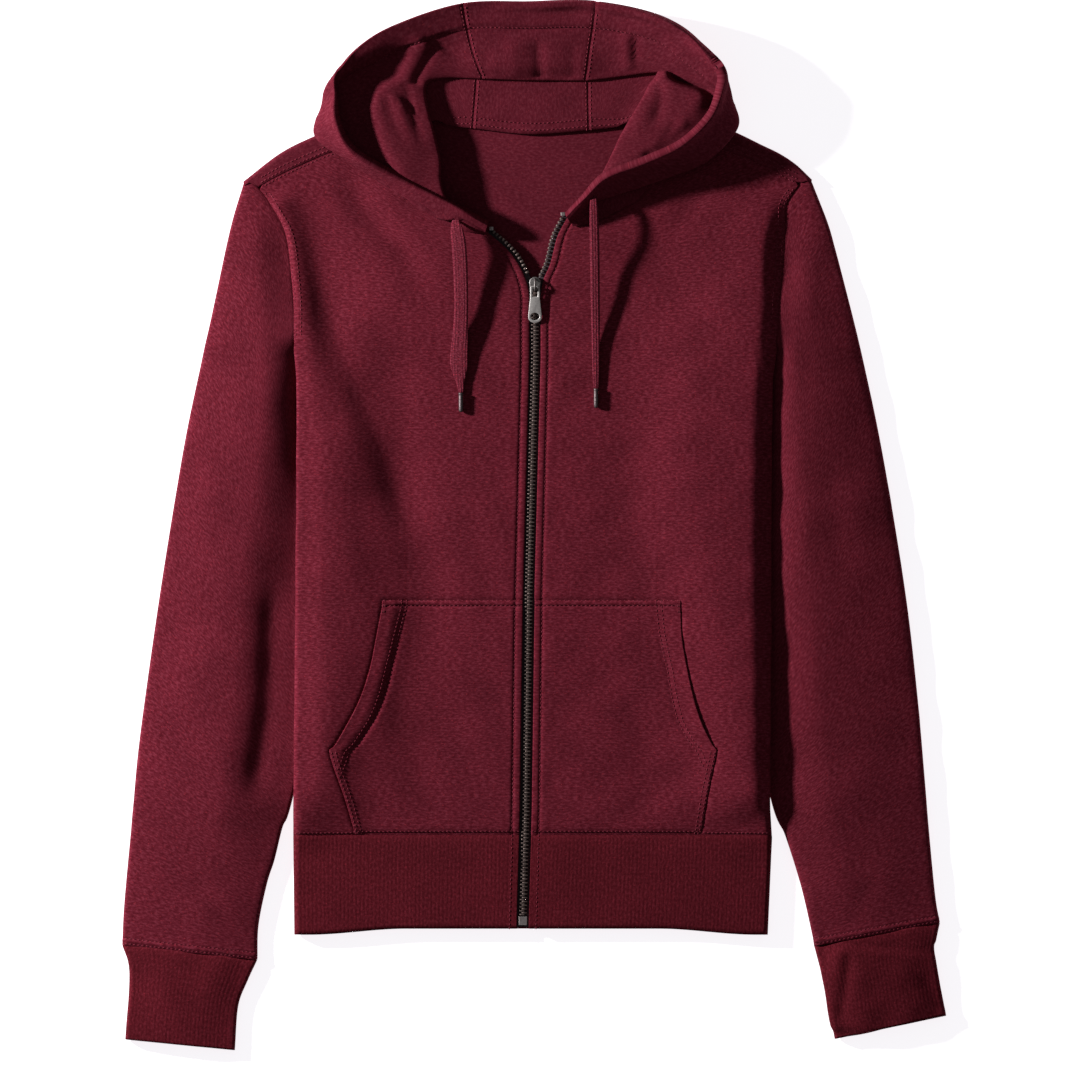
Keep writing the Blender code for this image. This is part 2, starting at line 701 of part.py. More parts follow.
def hood():
    """The three hood panels, split at the seams of the centre panel."""
    rows, hem = hood_sections()
    first, second = (2 * row for row in HOOD_SEAM_ROWS)
    parts = (
        ("hood_left", slice(0, first + 1), (0, -1)),
        ("hood_centre", slice(first, second + 1), (1, -1)),
        ("hood_right", slice(second, len(rows)), (1, 0)),
    )
    for name, part, pull in parts:
        piece = rows[part].copy()
        piece[0, :, 0] += pull[0] * SEAM
        piece[-1, :, 0] += pull[1] * SEAM
        sheet(name, piece, FLEECE_CLOTH, HEM_WALL, hem_rows=hem[part])


# ---------------------------------------------------------------- zip


def tape_level(side, y):
    """The top of the zip tape, just under the front."""
    return top_height(side, FRONT_EDGE, y) - FLEECE - CLEAR


def full_chain_path(side):
    """The chain's middle from the hem to the zip's top, on one side."""
    closed = [(side.sign * chain_x(y), y) for y in (-336, -240, -140, -40, 60, 150, 185)]
    return smooth_path([*closed, *side.open_chain])


def zip_tape(side):
    """The woven tape that the front is sewn to."""
    shares = np.concatenate([np.linspace(0, 0.84, 7), np.linspace(0.88, 1, 6)])
    path = resample(full_chain_path(side), shares)
    inner, outer = offset_path(path, 0.0), offset_path(path, -TAPE_WIDTH)
    rows = []
    for start, stop in zip(inner, outer):
        start = start + (stop - start) / TAPE_WIDTH * CLEAR
        y = min(start[1], stop[1])
        level = tape_level(side, min(y, 190.0)) - TAPE / 2
        rows.append(joined([(*start, level), (*stop, level)], side))
    return sheet(f"zip_tape_{side.name}", rows, TAPE_CLOTH, TAPE)


CHAIN_THICK = 2.0


def strip(name, path, width, bottom, thickness, material):
    """A flat strip along (x, y) points, with its underside at the given height."""
    left, right = offset_path(path, width / 2), offset_path(path, -width / 2)
    rows = [[(*a, bottom + thickness / 2), (*b, bottom + thickness / 2)] for a, b in zip(left, right)]
    return sheet(name, rows, material, thickness)


def zip_parts():
    level = tape_level(RIGHT, 0.0) + CLEAR
    closed = np.array([(chain_x(y), y) for y in np.linspace(-326, SLIDER_Y - 6.5, 9)])
    strip("zip_chain", closed, CHAIN_WIDTH, level, CHAIN_THICK, ZIP_METAL)
    for side in (LEFT, RIGHT):
        zip_tape(side)
        path = smooth_path(side.open_chain)
        edge = offset_path(path, -1.0)
        path = resample(edge, np.linspace(0.16 if side is LEFT else 0.12, 0.93, 7)) * (side.sign, 1)
        strip(f"zip_chain_open_{side.name}", path, 3.0, level, CHAIN_THICK, ZIP_METAL)
        top = np.array(side.open_chain[-1]) * (side.sign, 1)
        box(f"zip_top_stop_{side.name}", (*top, level + 1.4), (3.6, 3.0, 2.6), BRIGHT_METAL, 0.4)
    box("zip_bottom_stop", (chain_x(-331), -331, level + 1.2), (7.0, 7.0, 2.4), ZIP_METAL, 0.4)
    return level


SLIDER_LENGTH = 10.8
SLIDER_WIDTH = 9.2
SLIDER_THICK = 4.4
PIVOT_Y = 195.6
PIVOT_OVER = 1.7
BRIDGE_RADIUS = 3.3
BRIDGE_WALL = 1.6
PULL_THICK = 1.4
PULL_LENGTH = 30.5
PULL_REST_TILT = 4.6


def slider(level):
    """The slider: a rounded body and the bridge that the pull hangs on."""
    x = chain_x(SLIDER_Y)
    centre = (x, SLIDER_Y, level + SLIDER_THICK / 2)
    size = (SLIDER_WIDTH, SLIDER_LENGTH, SLIDER_THICK)
    body = box("zip_slider", centre, size, DARK_METAL, 0.9)
    pivot = np.array([x, PIVOT_Y, level + SLIDER_THICK + PIVOT_OVER])
    foot = -(PIVOT_OVER + 0.8)
    outer, inner = [], []
    for turn in np.linspace(0, math.pi, 9):
        outer.append((BRIDGE_RADIUS * math.cos(turn), BRIDGE_RADIUS * math.sin(turn) * 0.75))
        hole = BRIDGE_RADIUS - BRIDGE_WALL
        inner.append((hole * math.cos(turn), max(hole * math.sin(turn) * 0.8, 0.0)))
    outer += [(-BRIDGE_RADIUS, foot), (BRIDGE_RADIUS, foot)]
    hole = BRIDGE_RADIUS - BRIDGE_WALL
    inner += [(-hole, -PIVOT_OVER + 0.4), (hole, -PIVOT_OVER + 0.4)]
    bridge = outline_plate("bridge", [outer, inner], 2.0, DARK_METAL)
    bridge.matrix_world = bridge_matrix(pivot)
    mesh = bpy.data.meshes.new_from_object(evaluated(bridge))
    mesh.name = "bridge"
    welded = bpy.data.objects.new("bridge_cutter", mesh)
    welded.matrix_world = bridge.matrix_world.copy()
    CUTTERS.objects.link(welded)
    welded.hide_render = True
    welded.display_type = "WIRE"
    bpy.data.objects.remove(bridge, do_unlink=True)
    weld(mesh)
    union = body.modifiers.new("bridge", "BOOLEAN")
    union.operation = "UNION"
    union.object = welded
    return pivot


def weld(mesh):
    grid = bmesh.new()
    grid.from_mesh(mesh)
    bmesh.ops.remove_doubles(grid, verts=grid.verts, dist=0.00001)
    bmesh.ops.recalc_face_normals(grid, faces=grid.faces)
    grid.to_mesh(mesh)
    grid.free()


def evaluated(obj):
    bpy.context.view_layer.update()
    return obj.evaluated_get(bpy.context.evaluated_depsgraph_get())


def bridge_matrix(pivot):
    """Stands the bridge's outline on edge, so that it runs along Y and its thickness along X."""
    turn = Matrix(((0, 0, 1), (1, 0, 0), (0, 1, 0))).to_4x4()
    turn.translation = Vector(place(pivot))
    return turn


def pull(pivot):
    """The pull tab, hung on an empty at its hinge."""
    hinge = bpy.data.objects.new("pull_hinge", None)
    hinge.location = tuple(place(pivot))
    hinge.rotation_euler = (math.radians(PULL_REST_TILT), 0, 0)
    GARMENT.objects.link(hinge)
    top, bottom = 4.0, 5.4
    end = -PULL_LENGTH
    outline = [(-top, 0.7), (top, 0.7), (top + 0.1, -10.0), (bottom, end + 8)]
    for turn in np.linspace(0, math.pi, 9):
        outline.append((bottom * math.cos(turn), end + 4.5 - 4.5 * math.sin(turn)))
    outline.append((-bottom, end + 8))
    outline.append((-top - 0.1, -10.0))
    slot = [(-1.7, -0.7), (1.7, -0.7), (1.7, -7.7), (-1.7, -7.7)]
    turns = np.linspace(0, 2 * math.pi, 14, endpoint=False)
    ring = [(2.5 * math.cos(turn), end + 6 + 2.5 * math.sin(turn)) for turn in turns]
    tab = outline_plate("zip_pull", [outline, slot, ring], PULL_THICK, DARK_METAL)
    tab.parent = hinge
    solid = tab.modifiers.new("closed", "WELD")
    solid.merge_threshold = 0.00001
    return tab


# ---------------------------------------------------------------- drawcords

CORD_WIDTH = 13.0
CORD_THICK = 2.0
# One row for each point along the cord: x, y, height of its underside, width share.
CORD_LEFT = (
    (-62.8, 246.5, 18.5, 0.55), (-62.3, 241, 20.5, 0.8), (-61.8, 232, 21.5, 1.0), (-61.0, 216, 20.0, 1.0),
    (-60.6, 198, 18.0, 1.0), (-60.3, 178, 15.8, 1.0), (-60.1, 158, 13.2, 1.0), (-60.0, 140, 11.0, 1.0),
    (-59.9, 125, 10.0, 1.0), (-59.7, 114, 9.8, 0.8), (-59.5, 107.5, 9.8, 0.42),
)
CORD_RIGHT = (
    (51.5, 266.5, 22.5, 0.55), (51.6, 261, 23.8, 0.75), (51.8, 250, 23.5, 0.85), (52.1, 232, 21.0, 0.85),
    (52.4, 212, 18.4, 0.85), (52.6, 190, 15.8, 0.85), (52.8, 168, 13.2, 0.85), (52.9, 148, 11.0, 0.85),
    (53.0, 130, 10.0, 0.85), (53.0, 117, 9.8, 0.7), (53.0, 111.0, 9.8, 0.42),
)
TIP_LENGTH = 16.0
TIP_RADIUS = 2.9


def drawcord(name, points):
    """A flat knitted cord and the metal tip crimped on its end."""
    table = smooth_path(points, 2)
    rows = []
    for x, y, low, share in table:
        half = CORD_WIDTH * share / 2
        rows.append([(x - half, y, low + CORD_THICK / 2), (x + half, y, low + CORD_THICK / 2)])
    sheet(f"drawcord_{name}", rows, CORD_KNIT, CORD_THICK)
    x, y = points[-1][:2]
    centre = (x, y - CLEAR - TIP_LENGTH / 2, points[-1][2] + TIP_RADIUS - 0.2)
    bpy.ops.mesh.primitive_cylinder_add(
        vertices=14,
        radius=TIP_RADIUS * MM,
        depth=TIP_LENGTH * MM,
        location=tuple(place(centre)),
        rotation=(math.pi / 2, 0, 0),
    )
    tip = bpy.context.object
    tip.name = f"cord_tip_{name}"
    tip.data.materials.append(BRIGHT_METAL)
    for collection in list(tip.users_collection):
        collection.objects.unlink(tip)
    GARMENT.objects.link(tip)


# ---------------------------------------------------------------- the model

clear_scene()
GARMENT = bpy.data.collections.new("zip_hoodie")
CUTTERS = bpy.data.collections.new("cutters")
bpy.context.scene.collection.children.link(GARMENT)
bpy.context.scene.collection.children.link(CUTTERS)

FLEECE_CLOTH = finish_material("maroon fleece", (0.105, 0.012, 0.021), 0.9)
RIB_CLOTH = finish_material("maroon rib knit", (0.075, 0.009, 0.014), 0.9)
CORD_KNIT = finish_material("maroon flat cord", (0.13, 0.022, 0.03), 0.85)
TAPE_CLOTH = finish_material("black zip tape", (0.012, 0.009, 0.01), 0.8)
ZIP_METAL = finish_material("dark brass", (0.06, 0.05, 0.045), 0.4, 1.0)
DARK_METAL = finish_material("gunmetal", (0.25, 0.24, 0.24), 0.35, 1.0)
BRIGHT_METAL = finish_material("nickel", (0.4, 0.37, 0.36), 0.3, 1.0)


def main():
    back()
    for side in (LEFT, RIGHT):
        front(side)
        pocket(side)
        sleeve(side)
        cuff(side)
    waistband()
    hood()
    pivot = slider(zip_parts())
    pull(pivot)
    drawcord("left", CORD_LEFT)
    drawcord("right", CORD_RIGHT)
    print("pull hinge at", [round(float(value), 6) for value in place(pivot)])


main()
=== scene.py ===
"""Zip-up hooded sweatshirt laid flat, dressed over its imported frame.

Every table is in millimetres in the garment's plan: X to the right as it lies, Y towards the
hood, Z up from the table. place() turns that into metres round the middle of the base.
Distances called "out" are measured from the middle line towards one side, so both sides share
one set of formulas. Each cloth piece is a grid of points on the middle of its wall.
"""

import logging
import math
from dataclasses import dataclass, field
from enum import Enum
from typing import Callable, Sequence

import bmesh
import bpy
import numpy as np
from bpy.types import Curve, Material, Mesh, Node, NodeSocket, NodeTree, Object
from mathutils import Matrix, Vector


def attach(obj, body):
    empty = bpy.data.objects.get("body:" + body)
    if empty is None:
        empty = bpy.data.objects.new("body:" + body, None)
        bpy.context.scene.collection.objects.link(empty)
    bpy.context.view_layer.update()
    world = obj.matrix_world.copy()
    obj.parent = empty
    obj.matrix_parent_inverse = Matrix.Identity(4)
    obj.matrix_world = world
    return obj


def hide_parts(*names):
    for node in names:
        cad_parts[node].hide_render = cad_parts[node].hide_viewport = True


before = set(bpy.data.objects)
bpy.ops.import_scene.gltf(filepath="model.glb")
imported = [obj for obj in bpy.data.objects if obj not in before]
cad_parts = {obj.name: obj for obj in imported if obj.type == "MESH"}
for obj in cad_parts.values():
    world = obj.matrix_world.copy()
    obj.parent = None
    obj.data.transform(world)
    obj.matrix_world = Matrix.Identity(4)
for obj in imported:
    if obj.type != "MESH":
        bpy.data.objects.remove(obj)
log = logging.getLogger("hoodie")

Points = np.ndarray
Table = tuple[tuple[float, ...], ...]

MM = 0.001
BASE_MIDDLE = np.array([1.3, -2.6, 0.0])

FLEECE = 2.8
HALF = FLEECE / 2
HEM_WALL = 8.0
TAPE = 1.0
CLEAR = 0.3
POCKET_GAP = 0.7
POCKET_TOP = -64.5
POCKET_RISE = 0.6

# Heights of the layers over the table.
TUCKED = 2 * FLEECE + 2 * CLEAR + 0.3
TUCK_MIDDLE = TUCKED - CLEAR - HALF
EDGE_MIDDLE = 5.6
CROWN_MIDDLE = 8.1
LAYER_GAP = 3.6
FOLD_GAP = 0.9
SHOULDER_GAP = 1.4
RAMP = 16.0

# Where a front's points begin to gather for its side fold, as a share of its upper layer.
TOP_SHARE = 0.9

# Levels of the garment, from the hem to the slider, in plan.
BAND_BOTTOM = -342.6
HEM_HOLLOW = 5.0
BAND_SEAM = -260.0
UNDERARM = 35.0
ARMHOLE_TOP = 150.0
SLIDER_Y = 198.0
SEAM_GAP = 0.1
SEAM_LAP = 0.4

CHAIN_WIDTH = 8.0
FRONT_EDGE = 5.0
TAPE_WIDTH = 16.0

# Middle of the zip chain: y, x.
CHAIN = ((-338, -8.1), (-236.6, -5.4), (-54.8, -2.9), (136.1, 2.2), (198, 2.1))


class Body(Enum):
    """The rigid bodies that pieces ride on."""

    HOODIE = "hoodie"
    PULL = "pull"


class Slot(Enum):
    """The material slots."""

    FLEECE = "fleece"
    RIB = "rib_knit"
    TAPE = "zip_tape"
    CORD = "cord_knit"
    TEETH = "zip_teeth"
    SLIDER = "slider_metal"
    BRIGHT = "bright_metal"


@dataclass(frozen=True)
class Side:
    """One side of the garment as it lies. Its tables hold (out, y) points in plan.

    rise has rows of a level, how far before the tucked sleeve's fold the front begins to rise over
    it there, and over what length.
    """

    name: str
    sign: int
    body_edge: Table
    armhole: Table
    sleeve_outer: Table
    sleeve_inner: Table
    open_chain: Table
    neckline: Table
    shoulder_seam: Table
    shoulder_top: Table
    pocket_opening: Table
    cuff: tuple[Table, ...]
    rise: Table


LEFT = Side(
    name="left",
    sign=-1,
    body_edge=((198, -342), (198.8, -262), (198.6, -230), (196, 35), (196, 160)),
    armhole=(
        (239.5, 283), (228, 278.3), (211, 255), (203.3, 235.7), (199.6, 205),
        (197.5, 178), (197.2, 150), (190, 125), (172, 88), (140, 35),
    ),
    sleeve_outer=(
        (239.5, 283), (251, 243.5), (266, 173), (285, 84.7), (296, 23.2), (308.3, -53.1),
        (319.1, -127), (327.5, -190.5), (332.7, -247.3), (339, -314.6), (340.9, -351),
    ),
    sleeve_inner=(
        (140, 35), (168, -90), (198.8, -228.3), (207.6, -254), (214.1, -280.5), (220.4, -300.5),
        (227.3, -334.5), (228.3, -363.5),
    ),
    open_chain=((2, 205), (10.4, 220.8), (21, 232.5), (34.2, 243.6)),
    neckline=((37.5, 243.4), (57, 246.4), (77, 254.6), (91.5, 274), (97, 298), (96, 318)),
    shoulder_seam=((227, 278.6), (205, 290.5), (170.6, 305.5), (140, 316), (118, 324)),
    shoulder_top=(
        (239.5, 283), (209, 306.5), (181.4, 320.4), (150, 333), (120, 343),
        (100, 345), (85, 337), (73, 332), (49, 330), (0, 325.5),
    ),
    pocket_opening=(
        (124.9, -70.5), (129.9, -95.5), (135.7, -122.8), (145.7, -151), (163.9, -184.3),
        (168.9, -189), (164.8, -205), (155.6, -230.7), (147.3, -258.5),
    ),
    cuff=(
        ((340.9, -351.6), (228.4, -364.1)), ((335.8, -366), (236.5, -381)),
        ((335.2, -387), (244.2, -402)), ((338.4, -429.6), (247, -438.6)),
    ),
    rise=((-70, 78, 68), (20, 38, 56)),
)

RIGHT = Side(
    name="right",
    sign=1,
    body_edge=((195.5, -342), (199, -262), (197, -230), (198, -106), (199, 160)),
    armhole=(
        (231.2, 284.7), (222, 281), (212, 267.5), (209.6, 259), (208.6, 228),
        (205, 190), (201.5, 150), (193, 125), (174, 88), (141, 35),
    ),
    sleeve_outer=(
        (231.2, 284.7), (246.6, 243.5), (261.9, 186.3), (275.1, 131.1), (291.4, 51.5), (309.2, -56.4),
        (319.1, -139.4), (325.8, -214.1), (329.1, -254), (334.5, -309.6), (338.4, -332.4),
    ),
    sleeve_inner=(
        (141, 35), (166, -90), (197.6, -229), (209.8, -260.6), (222.3, -300.5),
        (231.5, -340), (233.6, -351.9),
    ),
    open_chain=((4.6, 202.5), (10.4, 215.8), (16.2, 238.2), (25.3, 255.6)),
    neckline=((30.3, 252.5), (49, 254), (67, 261), (84, 273), (92, 290), (93, 312)),
    shoulder_seam=((221.5, 281.5), (200, 292.5), (167, 307), (140, 316.5), (115, 325)),
    shoulder_top=(
        (231.2, 284.7), (226, 289.8), (217.9, 297.4), (205, 306), (189.4, 313.6), (171.9, 322.2),
        (150, 332), (120, 343),
        (100, 345), (85, 337), (73, 332), (47, 328.7), (0, 325.5),
    ),
    pocket_opening=(
        (123.3, -70.5), (124.9, -97.9), (131.6, -133.6), (139.9, -162.7), (150.6, -185.1),
        (154, -189), (147.3, -220), (139.9, -258.5),
    ),
    cuff=(
        ((338.4, -333), (233.6, -352.5)), ((335.4, -346), (239, -372)),
        ((334, -358), (243.4, -390)), ((343.6, -409.8), (250.8, -429.4)),
    ),
    rise=((0, 70, 66),),
)
SIDES = (LEFT, RIGHT)


# ---- curves and steps


def place(points: Points | Sequence) -> Points:
    """Plan millimetres to metres in the shared frame."""
    return (np.asarray(points, float) - BASE_MIDDLE) * MM


def smoothstep(value: Points | float) -> Points:
    """0 below 0, 1 above 1 and a smooth S between."""
    held = np.clip(value, 0.0, 1.0)
    return held * held * (3 - 2 * held)


def peak(distance: Points, at: float | Points, width: float | Points) -> Points:
    """1 at this distance, fading softly on both sides of it."""
    return np.exp(-(((distance - at) / width) ** 2))


def smooth_path(points: Points | Sequence, steps: int = 10) -> Points:
    """A dense Catmull-Rom curve through the points.

    Args:
        points: the points to pass through, one row each.
        steps: how many points each stretch is cut into.

    Returns:
        The curve's points, with the last given point at its end.
    """
    points = np.asarray(points, float)
    ends = np.vstack([2 * points[0] - points[1], points, 2 * points[-1] - points[-2]])
    part = np.linspace(0, 1, steps, endpoint=False)[:, None]
    pieces = []
    for before, start, stop, after in zip(ends, ends[1:], ends[2:], ends[3:]):
        bend = 2 * before - 5 * start + 4 * stop - after
        twist = 3 * start - before - 3 * stop + after
        pieces.append(start + 0.5 * ((stop - before) * part + bend * part**2 + twist * part**3))
    return np.vstack([*pieces, points[-1:]])


def run_along(path: Points) -> Points:
    """The length of the path up to each of its points."""
    return np.concatenate([[0.0], np.cumsum(np.linalg.norm(np.diff(path, axis=0), axis=1))])


def resample(path: Points, fractions: Points) -> Points:
    """Points of the path at these fractions of its length."""
    run = run_along(path)
    return np.column_stack([np.interp(np.asarray(fractions) * run[-1], run, axis) for axis in path.T])


def offset_path(path: Points, distance: float) -> Points:
    """The plan path moved sideways, to the left of its direction when distance is positive."""
    along = np.gradient(path, axis=0)
    along /= np.linalg.norm(along, axis=1)[:, None]
    return path + distance * np.column_stack([-along[:, 1], along[:, 0]])


def out_at(table: Sequence, y: Points | float) -> Points:
    """The out distance of an (out, y) table at this y."""
    rows = sorted(table, key=lambda row: row[1])
    return np.interp(y, [row[1] for row in rows], [row[0] for row in rows])


def value_at(table: Table, level: Points | float) -> Points:
    """The second column of a table at this level in its first one."""
    return np.interp(level, [row[0] for row in table], [row[1] for row in table])


def chain_x(y: Points | float) -> Points:
    """Where the middle of the zip chain lies at this y."""
    return value_at(CHAIN, y)


# ---- heights of the layers


def tuck_reach(side: Side, y: Points | float) -> Points:
    """Where the sleeve tucked under the body has its inner fold."""
    return out_at(side.sleeve_inner, np.minimum(y, UNDERARM))


def lift(side: Side, out: Points | float, y: Points | float) -> Points:
    """How far the tucked sleeve raises the body's lower layer."""
    return TUCKED * smoothstep((out - tuck_reach(side, y) + RAMP + 2) / RAMP)


def shoulder_distance(side: Side, out: Points | float, y: Points | float) -> Points:
    """How far a point lies below the shoulder's top edge."""
    return out_at([(top, at) for at, top in side.shoulder_top], out) - y


def layer_gap(side: Side, out: Points | float, y: Points | float) -> Points:
    """The air between the body's two layers: least in the side folds and along the shoulders."""
    toward_fold = smoothstep((out - 110) / 70) * smoothstep((y + 160) / 160)
    open_gap = LAYER_GAP + (FOLD_GAP - LAYER_GAP) * toward_fold
    below = smoothstep((shoulder_distance(side, out, y) - 18) / 60)
    return SHOULDER_GAP + (open_gap - SHOULDER_GAP) * below


def top_height(side: Side, out: Points | float, y: Points | float) -> Points:
    """The front's upper face."""
    reach = tuck_reach(side, y)
    kept = smoothstep((y + 285) / 55) * (1 - smoothstep((y - 143) / 75))
    levels, before, over = zip(*side.rise)
    begun = out - reach + np.interp(y, levels, before)
    rise = TUCKED * smoothstep(begun / np.interp(y, levels, over)) * kept
    return rise + 2 * FLEECE + layer_gap(side, out, y)


def tape_level(side: Side, y: Points | float) -> Points:
    """The top of the zip tape, just under the front."""
    return top_height(side, FRONT_EDGE, y) - FLEECE - CLEAR


# ---- finishes


def linear(colour: str) -> tuple[float, float, float, float]:
    """An sRGB hex colour as linear red, green, blue and 1 for alpha."""
    channels = [int(colour[at : at + 2], 16) / 255 for at in (1, 3, 5)]
    values = [c / 12.92 if c <= 0.04045 else ((c + 0.055) / 1.055) ** 2.4 for c in channels]
    return (*values, 1.0)


def add_node(
    tree: NodeTree,
    kind: str,
    settings: dict[str, object] | None = None,
    inputs: dict[str | int, object] | None = None,
) -> Node:
    """Adds a node.

    Args:
        tree: the material's node tree.
        kind: the node's type, without ShaderNode before it.
        settings: values of the node's own properties.
        inputs: a value for an input, or the output socket that feeds it.

    Returns:
        The new node.
    """
    node = tree.nodes.new(f"ShaderNode{kind}")
    for name, value in (settings or {}).items():
        setattr(node, name, value)
    set_inputs(node, inputs or {})
    return node


def set_inputs(node: Node, inputs: dict[str | int, object]) -> None:
    """Sets a node's inputs, each to a value or to the output socket that feeds it."""
    for name, value in inputs.items():
        if isinstance(value, NodeSocket):
            node.id_data.links.new(value, node.inputs[name])
        else:
            node.inputs[name].default_value = value


def colour_steps(node: Node, steps: Sequence[tuple[float, str]]) -> None:
    """Sets a colour ramp's stops from (position, hex colour) pairs."""
    ramp = node.color_ramp
    while len(ramp.elements) < len(steps):
        ramp.elements.new(0.5)
    for element, (position, colour) in zip(ramp.elements, steps):
        element.position = position
        element.color = linear(colour)


@dataclass(frozen=True)
class Finish:
    """What a surface is made of: the common name and its material slot, if it has one."""

    name: str
    slot: Slot | None

    def material(self) -> Material:
        """The finish as a material, made once."""
        made = bpy.data.materials.get(self.name)
        if made is None:
            made = bpy.data.materials.new(self.name)
            made.use_nodes = True
            self.draw(made.node_tree, made.node_tree.nodes["Principled BSDF"])
        return made

    def draw(self, tree: NodeTree, shader: Node) -> None:
        """Gives the shader its colour, shine and relief."""
        raise NotImplementedError


@dataclass(frozen=True)
class Knit(Finish):
    """Cotton and polyester knit, spun from yarns dyed in several maroons.

    The eye sees short streaks along the courses, a few redder fibres, and a soft matt nap.
    Lengths are in mm. The stitch is drawn coarser than the real 0.8 mm, so that it shows.
    """

    dark: str
    base: str
    light: str
    fleck: str
    streak: tuple[float, float] = (4.0, 1.5)
    fleck_size: float = 1.5
    fleck_share: float = 0.66
    sheen: float = 0.08
    relief: float = 0.08
    stitch: float = 1.7

    def draw(self, tree: NodeTree, shader: Node) -> None:
        """Streaks in three tones, redder flecks, cloudy wear and the loops' relief."""
        cloth = add_node(tree, "UVMap", {"uv_map": "cloth"})
        streaks = self.pattern(tree, cloth, self.streak, 3.0, 0.62)
        tint = add_node(tree, "ValToRGB", inputs={"Fac": streaks.outputs["Fac"]})
        colour_steps(tint, ((0.30, self.dark), (0.5, self.base), (0.72, self.light)))
        flecks = self.pattern(tree, cloth, (self.fleck_size * 1.6, self.fleck_size), 1.0, 0.5)
        chosen = add_node(tree, "MapRange", inputs={
            "Value": flecks.outputs["Fac"], "From Min": self.fleck_share, "From Max": 0.8,
        })
        mixed = add_node(tree, "Mix", {"data_type": "RGBA"}, {
            0: chosen.outputs["Result"], 6: tint.outputs["Color"], 7: linear(self.fleck),
        })
        cloudy = self.pattern(tree, cloth, (38.0, 30.0), 2.0, 0.5)
        worn = add_node(tree, "MapRange", inputs={
            "Value": cloudy.outputs["Fac"], "From Min": 0.3, "From Max": 0.7, "To Min": 0.92, "To Max": 1.07,
        })
        final = add_node(tree, "Mix", {"data_type": "RGBA", "blend_type": "MULTIPLY"}, {
            0: 1.0, 6: mixed.outputs[2], 7: worn.outputs["Result"],
        })
        set_inputs(shader, {
            "Base Color": final.outputs[2],
            "Normal": self.loops(tree, cloth, streaks).outputs["Normal"],
            "Roughness": 0.95,
            "IOR": 1.45,
            "Specular IOR Level": 0.06,
            "Sheen Weight": self.sheen,
            "Sheen Roughness": 0.45,
            "Sheen Tint": linear(self.light),
        })

    def scaled(self, tree: NodeTree, cloth: Node, size: tuple[float, float]) -> NodeSocket:
        """The cloth map in steps of this size, in mm."""
        scale = Vector((1 / (size[0] * MM), 1 / (size[1] * MM), 1.0))
        inputs = {0: cloth.outputs["UV"], 1: scale}
        return add_node(tree, "VectorMath", {"operation": "MULTIPLY"}, inputs).outputs[0]

    def pattern(
        self, tree: NodeTree, cloth: Node, size: tuple[float, float], detail: float, rough: float
    ) -> Node:
        """Noise whose cells are size mm along the courses and along the wales."""
        return add_node(tree, "TexNoise", {"noise_dimensions": "2D"}, {
            "Vector": self.scaled(tree, cloth, size), "Scale": 1.0, "Detail": detail, "Roughness": rough,
        })

    def loops(self, tree: NodeTree, cloth: Node, streaks: Node) -> Node:
        """Bump for the jersey face: rows of loops under the streaks' own unevenness."""
        settings = {"wave_type": "BANDS", "bands_direction": "Y", "wave_profile": "SIN"}
        rows = add_node(tree, "TexWave", settings, {
            "Vector": self.scaled(tree, cloth, (self.stitch, self.stitch)),
            "Scale": 1 / math.tau * math.pi, "Distortion": 0.7, "Detail": 1.0,
        })
        height = add_node(tree, "Mix", {"data_type": "FLOAT"}, {
            0: 0.72, 2: rows.outputs["Fac"], 3: streaks.outputs["Fac"],
        })
        return add_node(tree, "Bump", inputs={
            "Strength": 0.6, "Distance": self.relief * MM, "Height": height.outputs[0],
        })


@dataclass(frozen=True)
class WovenTape(Finish):
    """Polyester zip tape in a tight herringbone weave, dull black, with a painted highlight on the yarns'
    crowns standing in for their shine.
    """

    colour: str
    # light is the painted highlight colour on the yarns' crowns, not a colour of the tape.
    light: str
    thread: float = 0.9

    def draw(self, tree: NodeTree, shader: Node) -> None:
        """Slanting yarns, with a painted highlight on their crowns."""
        placed = add_node(tree, "TexCoord").outputs["Object"]
        weave = add_node(tree, "TexWave", {"wave_type": "BANDS", "bands_direction": "DIAGONAL"}, {
            "Vector": placed, "Scale": 0.5 / (self.thread * MM), "Distortion": 0.6,
        }).outputs["Fac"]
        # The ramp paints the weave's crowns in the highlight colour: a painted shine.
        tint = add_node(tree, "ValToRGB", inputs={"Fac": weave})
        colour_steps(tint, ((0.2, self.colour), (0.9, self.light)))
        bump = add_node(tree, "Bump", inputs={"Strength": 0.5, "Distance": 0.15 * MM, "Height": weave})
        set_inputs(shader, {
            "Base Color": tint.outputs["Color"],
            "Normal": bump.outputs["Normal"],
            "Roughness": 0.75,
        })


@dataclass(frozen=True)
class Metal(Finish):
    """Cast zinc or stamped brass with a plated skin: a soft shine, broken by handling marks.

    Rubbed places are brighter and smoother; hollows keep the darker plating.
    """

    colour: str
    rubbed: str
    roughness: float
    grain: float = 1.6

    def draw(self, tree: NodeTree, shader: Node) -> None:
        """Marks that change the colour, the shine and the skin's evenness."""
        marks = add_node(tree, "TexNoise", inputs={
            "Vector": add_node(tree, "TexCoord").outputs["Object"],
            "Scale": 1 / (self.grain * MM), "Detail": 4.0, "Roughness": 0.65,
        }).outputs["Fac"]
        tint = add_node(tree, "ValToRGB", inputs={"Fac": marks})
        colour_steps(tint, ((0.35, self.colour), (0.75, self.rubbed)))
        shine = add_node(tree, "MapRange", inputs={
            "Value": marks, "From Min": 0.3, "From Max": 0.8,
            "To Min": self.roughness + 0.12, "To Max": self.roughness - 0.05,
        })
        bump = add_node(tree, "Bump", inputs={"Strength": 0.25, "Distance": 0.1 * MM, "Height": marks})
        set_inputs(shader, {
            "Base Color": tint.outputs["Color"],
            "Roughness": shine.outputs["Result"],
            "Normal": bump.outputs["Normal"],
            "Metallic": 1.0,
        })


